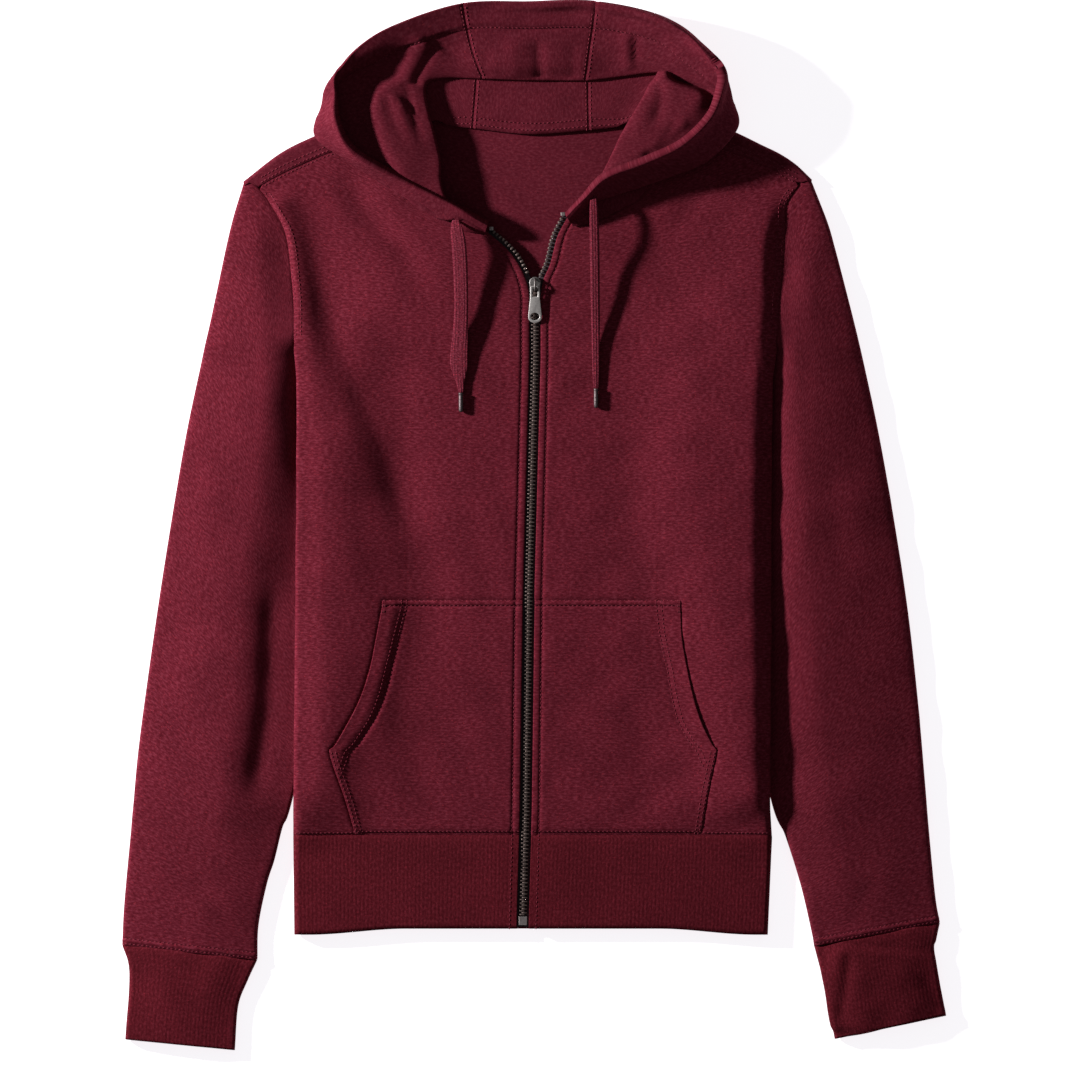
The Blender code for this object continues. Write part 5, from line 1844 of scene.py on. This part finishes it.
@dataclass
class PullTab:
    """The pull tab: a stamped plate with rounded edges, a slot for the bridge and a round hole.

    Sizes are in mm, from the hinge, with the tab hanging down along its own y.
    """

    hinge: tuple[float, float, float] = (2.1, 195.6, 12.5)
    tilt: float = 4.6
    length: float = 30.5
    half_top: float = 4.1
    half_end: float = 5.6
    thickness: float = 1.6
    rounding: float = 0.5

    def loops(self) -> list[Points]:
        """The plate's outline, its slot and its hole."""
        end = -self.length
        turns = np.linspace(0, math.pi, 17)
        bottom = np.column_stack([self.half_end * np.cos(turns), end + 4.4 - 4.4 * np.sin(turns)])
        crown = np.column_stack([self.half_top * np.cos(turns), -0.8 + 1.2 * np.sin(turns)])
        sides = [(-self.half_end, end + 7), (-self.half_top, -10)]
        outline = np.vstack([crown, sides[::-1], bottom[::-1], [(-x, y) for x, y in sides]])
        corners = ((1.6, -1.5), (-1.6, -1.5), (-1.6, -8.0), (1.6, -8.0))
        slot = [
            (x + 0.6 * math.cos(turn), y + 0.6 * math.sin(turn))
            for (x, y), begun in zip(corners, (0, 90, 180, 270))
            for turn in np.radians(np.linspace(begun, begun + 90, 5))
        ]
        around = np.linspace(0, math.tau, 28, endpoint=False)
        hole = np.column_stack([3.6 * np.cos(around), end + 5.4 + 3.0 * np.sin(around)])
        return [outline, np.array(slot), hole]

    def build(self) -> Object:
        """Makes the plate, hangs it on its hinge and dresses it."""
        mesh = plate("zip_pull_tab", self.loops(), self.thickness, self.rounding)
        hung = Matrix.Rotation(math.radians(self.tilt), 4, "X")
        mesh.transform(Matrix.Translation(place(self.hinge)) @ hung)
        mesh.shade_smooth()
        mesh.set_sharp_from_angle(angle=math.radians(40))
        return add_piece("zip_pull_tab", mesh, GUNMETAL, ["zip_pull"], body=Body.PULL)


# ---- stitching


@dataclass
class Stitching:
    """The topstitching of every seam, sewn onto the finished walls. Distances are in mm."""

    fronts: list[Cloth]
    pockets: list[Cloth]
    band: Cloth
    sleeves: list[Cloth]
    hood: list[Cloth]
    zip_in: float = 6.0
    seam_in: float = 2.4
    seam_out: float = 6.6
    fan: int = 158

    def build(self) -> None:
        """Sews the rows, a piece for each group of seams."""
        for sew in (self.zip_rows, self.pocket_rows, self.waist_rows, self.armhole_rows, self.hood_rows):
            rows = sew()
            rows.build()
            log.info("%s: %d stitches", rows.name, sum(len(part) for part in rows.origins))

    def zip_rows(self) -> Sewing:
        """One row along each side of the zip, down over the waistband."""
        sewing = Sewing("zip_stitches")
        for panel in self.fronts:
            sewing.row(panel.seam_line(self.zip_in, "first"), 0.0, 0.815)
        for edge in ("first", "last"):
            sewing.row(self.band.seam_line(self.zip_in, edge))
        return sewing

    def pocket_rows(self) -> Sewing:
        """Double rows along the pockets' tops and openings, with a bar at each end of an opening."""
        sewing = Sewing("pocket_stitches")
        for pocket in self.pockets:
            for distance in (0.9, 5.2):
                sewing.row(pocket.seam_line(distance, "top"))
            levels = pocket.grid[:, 0, 1]
            hem = value_at(Pocket.hem, levels)
            corner = int(np.argmax(levels < -212))
            for more in (0.0, 4.4):
                sewing.row(pocket.seam_line(np.maximum(hem - more, 1.5), "last", slice(0, corner)))
            below = int(np.argmax(levels < -190))
            for distance in (1.8, 5.2):
                sewing.row(pocket.seam_line(distance, "last", slice(below, None)))
            for distance in (0.9, 1.7, 2.5):
                sewing.row(pocket.seam_line(distance, "last", slice(0, 13)))
                sewing.row(pocket.seam_line(distance, "last", slice(-6, None)))
            sewing.row(pocket.seam_line(self.seam_in, "bottom"))
            sewing.row(pocket.seam_line(self.zip_in, "first"))
        return sewing

    def waist_rows(self) -> Sewing:
        """A row over the waistband seam, and one over each cuff seam."""
        sewing = Sewing("seam_stitches")
        for panel in self.fronts:
            sewing.row(panel.seam_line(self.seam_in, "top"), 0.0, 0.92)
        for sleeve in self.sleeves:
            for distance in (1.8, 5.6):
                points, directions = sleeve.seam_line(distance, "bottom")
                points[:, 2] = np.maximum(points[:, 2], 0.4)
                sewing.row((points, directions))
        return sewing

    def armhole_rows(self) -> Sewing:
        """Double rows beside the armholes and on both sides of the shoulder seams."""
        sewing = Sewing("shoulder_stitches")
        for side, panel in zip(SIDES, self.fronts):
            for distance in (self.seam_in, self.seam_out):
                sewing.row(panel.seam_line(distance, "last", slice(self.fan + 1, self.fan + 43)))
            sewing.row(panel.seam_line(self.seam_in, "last", slice(self.fan + 44, None)))
            out = np.linspace(side.shoulder_seam[0][0] - 2, 120, 60)
            for distance in (self.seam_in, self.seam_out):
                y = strip_end(side, out) + distance
                z = np.full(out.shape, EDGE_MIDDLE + (FLEECE - 0.3) / 2)
                up = np.tile([0.0, 0.0, 1.0], (len(out), 1))
                sewing.row((np.column_stack([out * side.sign, y, z]), up))
        return sewing

    def hood_rows(self) -> Sewing:
        """The casing's row along the rim, and a row on each side of the panel seams."""
        sewing = Sewing("hood_stitches")
        left, centre, right = self.hood
        steps = Hood.station_steps
        sewing.row(left.seam_line(Hood.casing, "last", slice(8 * steps, None)))
        sewing.row(centre.seam_line(Hood.casing, "last"))
        sewing.row(right.seam_line(Hood.casing, "last", slice(0, 3 * steps)))
        for panel, edge in ((left, "bottom"), (centre, "top"), (centre, "bottom"), (right, "top")):
            sewing.row(panel.seam_line(self.seam_in, edge), 0.0, 0.97)
        for distance in (self.seam_in + 0.8, self.seam_out + 2.4):
            sewing.row(left.seam_line(distance, "first", slice(8 * steps, None)))
            sewing.row(centre.seam_line(distance, "first"))
            sewing.row(right.seam_line(distance, "first", slice(0, 4 * steps)))
        return sewing


# ---- folds of this garment

LEFT_FRONT = Relief(
    creases=(
        # The trough that runs down from the hood, and the one beside the sleeve.
        Crease(((-162, 296), (-145, 267), (-110, 226), (-79, 197)), -2.8, 12),
        Crease(
            (
                (-190, 262), (-179, 226), (-168, 184), (-155, 143), (-138, 101), (-119, 60), (-107, 18),
                (-94, -23),
            ),
            -3.9, 32, 0.5, 0.26, 0.15,
        ),
        # The puffed seam edge of the armhole, running into the roll over the tucked sleeve.
        Crease(
            ((-216, 275), (-204, 242), (-196, 205), (-192, 184), (-187, 143), (-181, 95), (-178, 50)),
            3.4, 13, 0.65, 0.06, 0.75,
        ),
        Crease(
            ((-183, 143), (-174, 90), (-171, -30), (-172, -120), (-174, -200), (-178, -262)),
            3.6, 26, 0.6, 0.2,
        ),
        Crease(((-98, 0), (-90, -60), (-96, -130)), -2, 24),
        # The fullness in the pocket.
        Crease(((-132, -85), (-128, -150), (-126, -200), (-124, -258)), 2.8, 26, 1.1, 0.25),
    ),
    seed=11,
)
RIGHT_FRONT = Relief(
    creases=(
        Crease(((118, 240), (116, 150), (114, 60)), -1.6, 32, 1, 0.2, 0.4),
        Crease(((150, 285), (118, 240), (95, 205)), -1.2, 12),
        # The puffed side, which drops steeply to the fold beside the sleeve.
        Crease(
            (
                (203, 276), (197, 262), (189, 226), (188, 184), (186, 143), (182, 101), (181, 60),
                (180, -23), (180, -81), (181, -148), (182, -214), (186, -255),
            ),
            6.6, 11.5, 4.6, 0.06,
        ),
        Crease(((84, -135), (88, -170), (95, -214), (102, -258)), -1, 18, 0.9, 0.25),
    ),
    seed=12,
)
LEFT_MOUTH = ((-196, 0.2), (-186, 0.7), (-160, 1), (-110, 0.7), (-75, 0.3))
RIGHT_MOUTH = ((-194, 0.2), (-188, 0.5), (-168, 2.1), (-140, 1.2), (-110, 0.7), (-75, 0.3))
LEFT_CREST = (
    (283, 232, 5.8, 0), (250, 226, 7.2, 0), (226, 224.6, 8.4, 0), (184, 224, 10.4, 0),
    (150, 222, 12.6, 0), (100, 223, 14.2, 0), (60, 226, 13.8, 0.05), (20, 232, 13, 0.3),
    (-23, 239, 12.6, 0.5), (-81, 243, 12.8, 0.8), (-148, 248.5, 13.2, 1),
    (-214, 257, 13, 1), (-290, 268, 10.5, 1), (-345, 282, 8.4, 1),
)
RIGHT_CREST = (
    (284, 224, 5.8, 0), (250, 211, 7, 0), (226, 209, 8.8, 0), (184, 214, 11.4, 0),
    (143, 219, 13.2, 0), (60, 226, 14.2, 0), (-23, 230, 14.2, 0.1), (-148, 239, 13.8, 0.3),
    (-214, 246, 13, 0.5), (-290, 260, 11, 0.8), (-335, 275, 8.8, 1),
)
LEFT_SLEEVE = Relief(
    creases=(
        Crease(((-214, -45), (-217, -90), (-220, -154), (-228, -208), (-232, -240)), -2.4, 10, 1, 0.2),
        Crease(((-250, -345), (-262, -320), (-284, -290)), -0.9, 9),
        Crease(((-258, 60), (-268, 20), (-274, -30)), 0.7, 14),
    ),
    seed=41,
    swell=0.4,
)
RIGHT_SLEEVE = Relief(
    creases=(
        Crease(((262, -345), (272, -318), (290, -292)), -0.9, 9),
        Crease(((246, 60), (252, 0), (262, -60)), -0.7, 12),
    ),
    seed=42,
    swell=0.4,
)
BACK = Relief(
    creases=(
        Crease(((-110, -160), (-60, -120), (10, -95)), 0.9, 12),
        Crease(((120, 60), (70, 90), (20, 96)), 0.8, 12),
    ),
    seed=5,
    swell=0.3,
    swell_length=70,
)
LEFT_CUFF = Relief(creases=(), seed=51, swell=0.3, swell_length=40)
RIGHT_CUFF = Relief(
    creases=(
        Crease(((251, -354), (249, -385), (245, -425)), 1.5, 8, 0.9, 0.1, 0.2),
        Crease(((263, -352), (260, -386), (253, -420)), -1.3, 6, 0.9, 0.15, 0.2),
        Crease(((262, -350), (256, -425)), 3, 62, 0.2, 0.1),
        Crease(((319, -374), (330, -388), (342, -404)), -1, 6, 1.2, 0.4, 0.1),
    ),
    seed=52,
    swell=0.3,
    swell_length=40,
)
HOOD_FORM = Relief(
    creases=(
        # The near flap: its swollen outer part, a ridge from its top up to the casing, and its tucks.
        Crease(
            ((-114, 364), (-124, 354), (-130, 338), (-122, 315), (-108, 295), (-93, 279), (-82, 267)),
            6, 27, 0.3, 0.08, 0.5,
        ),
        Crease(((-89, 402), (-94, 393), (-99, 385), (-107, 369), (-117, 358)), 3.4, 20, 0.35, 0.1, 0.1),
        Crease(((-78, 400), (-83, 392), (-88, 384), (-96, 370), (-98, 360)), -2, 4, 0.8, 0.2, 0.1),
        Crease(((-126, 366), (-121.6, 354), (-117, 338), (-110, 318), (-102, 300)), -1.7, 2.6, 1, 0.05, 0.7),
        Crease(((-105, 366), (-103, 352), (-100, 337), (-94, 322), (-88, 304)), -1.3, 2.6, 1, 0.05, 0.6),
        Crease(((-112, 358), (-109, 344), (-104, 328), (-96, 308)), 1.2, 4, 1, 0.1, 0.5),
        # The far flap: the gap behind its top edge, and slanting wrinkles.
        Crease(((112, 374), (119, 367.6), (139, 360.4), (152, 354)), -4.2, 2.8, 1, 0.12, 0.2),
        Crease(((108, 373), (117, 363.4), (137, 355.6), (151, 348)), 5, 2.4, 5.6, 0.1, 0.3),
        Crease(((90, 300), (101, 308), (112, 320), (124, 334)), -2.1, 3.4, 1, 0.15, 0.3),
        Crease(((96, 304), (109, 316), (130, 336)), 1.8, 4, 1, 0.2),
        Crease(((102, 300), (113, 314), (128, 330)), -1, 3.2, 1, 0.2),
        Crease(((106, 366), (107, 352), (104, 338), (100, 324)), -1.5, 4.5, 1, 0.08, 0.4),
        Crease(((84, 318), (90, 334), (98, 350)), 1, 7),
        # The rolled edge of the panel behind, and its tucks.
        Crease(((-66, 380), (0, 379), (66, 381)), 3.4, 17, 0.45, 0.25),
        Crease(((79, 408), (79, 396), (80, 374)), 1.5, 5, 1, 0.2, 0.15),
        Crease(((86, 408), (85, 396), (85, 378)), -1.5, 2.8, 1, 0.2, 0.3),
        Crease(((4, 404), (6, 388), (7, 368)), -2, 3.2, 1.6, 0.3, 0.06),
        Crease(((-16, 404), (-15, 388), (-15, 368)), 1, 8, 1, 0.3, 0.1),
        Crease(((32, 400), (34, 386), (33, 368)), -0.9, 4, 1, 0.3, 0.06),
        Crease(((-40, 398), (-38, 386), (-40, 370)), -0.7, 5, 1, 0.3, 0.06),
        Crease(((108, 404), (118, 397), (128, 386)), 1, 6),
    ),
    seed=77,
    swell=0.3,
    swell_length=36,
)


def main() -> None:
    """Builds every piece in order and reports it."""
    logging.basicConfig(level=logging.INFO, format="%(name)s: %(message)s")
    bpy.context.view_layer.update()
    Studio().build()
    for cord in DRAWCORDS:
        cord.build()
    back = BackPanel(BACK).build()
    fronts = [FrontPanel(LEFT, LEFT_FRONT).build(), FrontPanel(RIGHT, RIGHT_FRONT).build()]
    pockets = [
        Pocket(LEFT, LEFT_FRONT, LEFT_MOUTH, 1.9).build(),
        Pocket(RIGHT, RIGHT_FRONT, RIGHT_MOUTH, 0.45).build(),
    ]
    band = Waistband((LEFT_FRONT, RIGHT_FRONT)).build()
    sleeves = [
        Sleeve(LEFT, LEFT_SLEEVE, LEFT_CREST).build(),
        Sleeve(RIGHT, RIGHT_SLEEVE, RIGHT_CREST).build(),
    ]
    cuffs = [Cuff(LEFT, LEFT_CUFF).build(), Cuff(RIGHT, RIGHT_CUFF).build()]
    hood = Hood(HOOD_FORM).build()
    ZipFastener().build()
    stitching = Stitching(fronts, pockets, band, sleeves, hood)
    stitching.build()
    log.info("%d cloth pieces", len([back, band, *fronts, *pockets, *sleeves, *cuffs, *hood]))


if __name__ == "__main__":
    main()
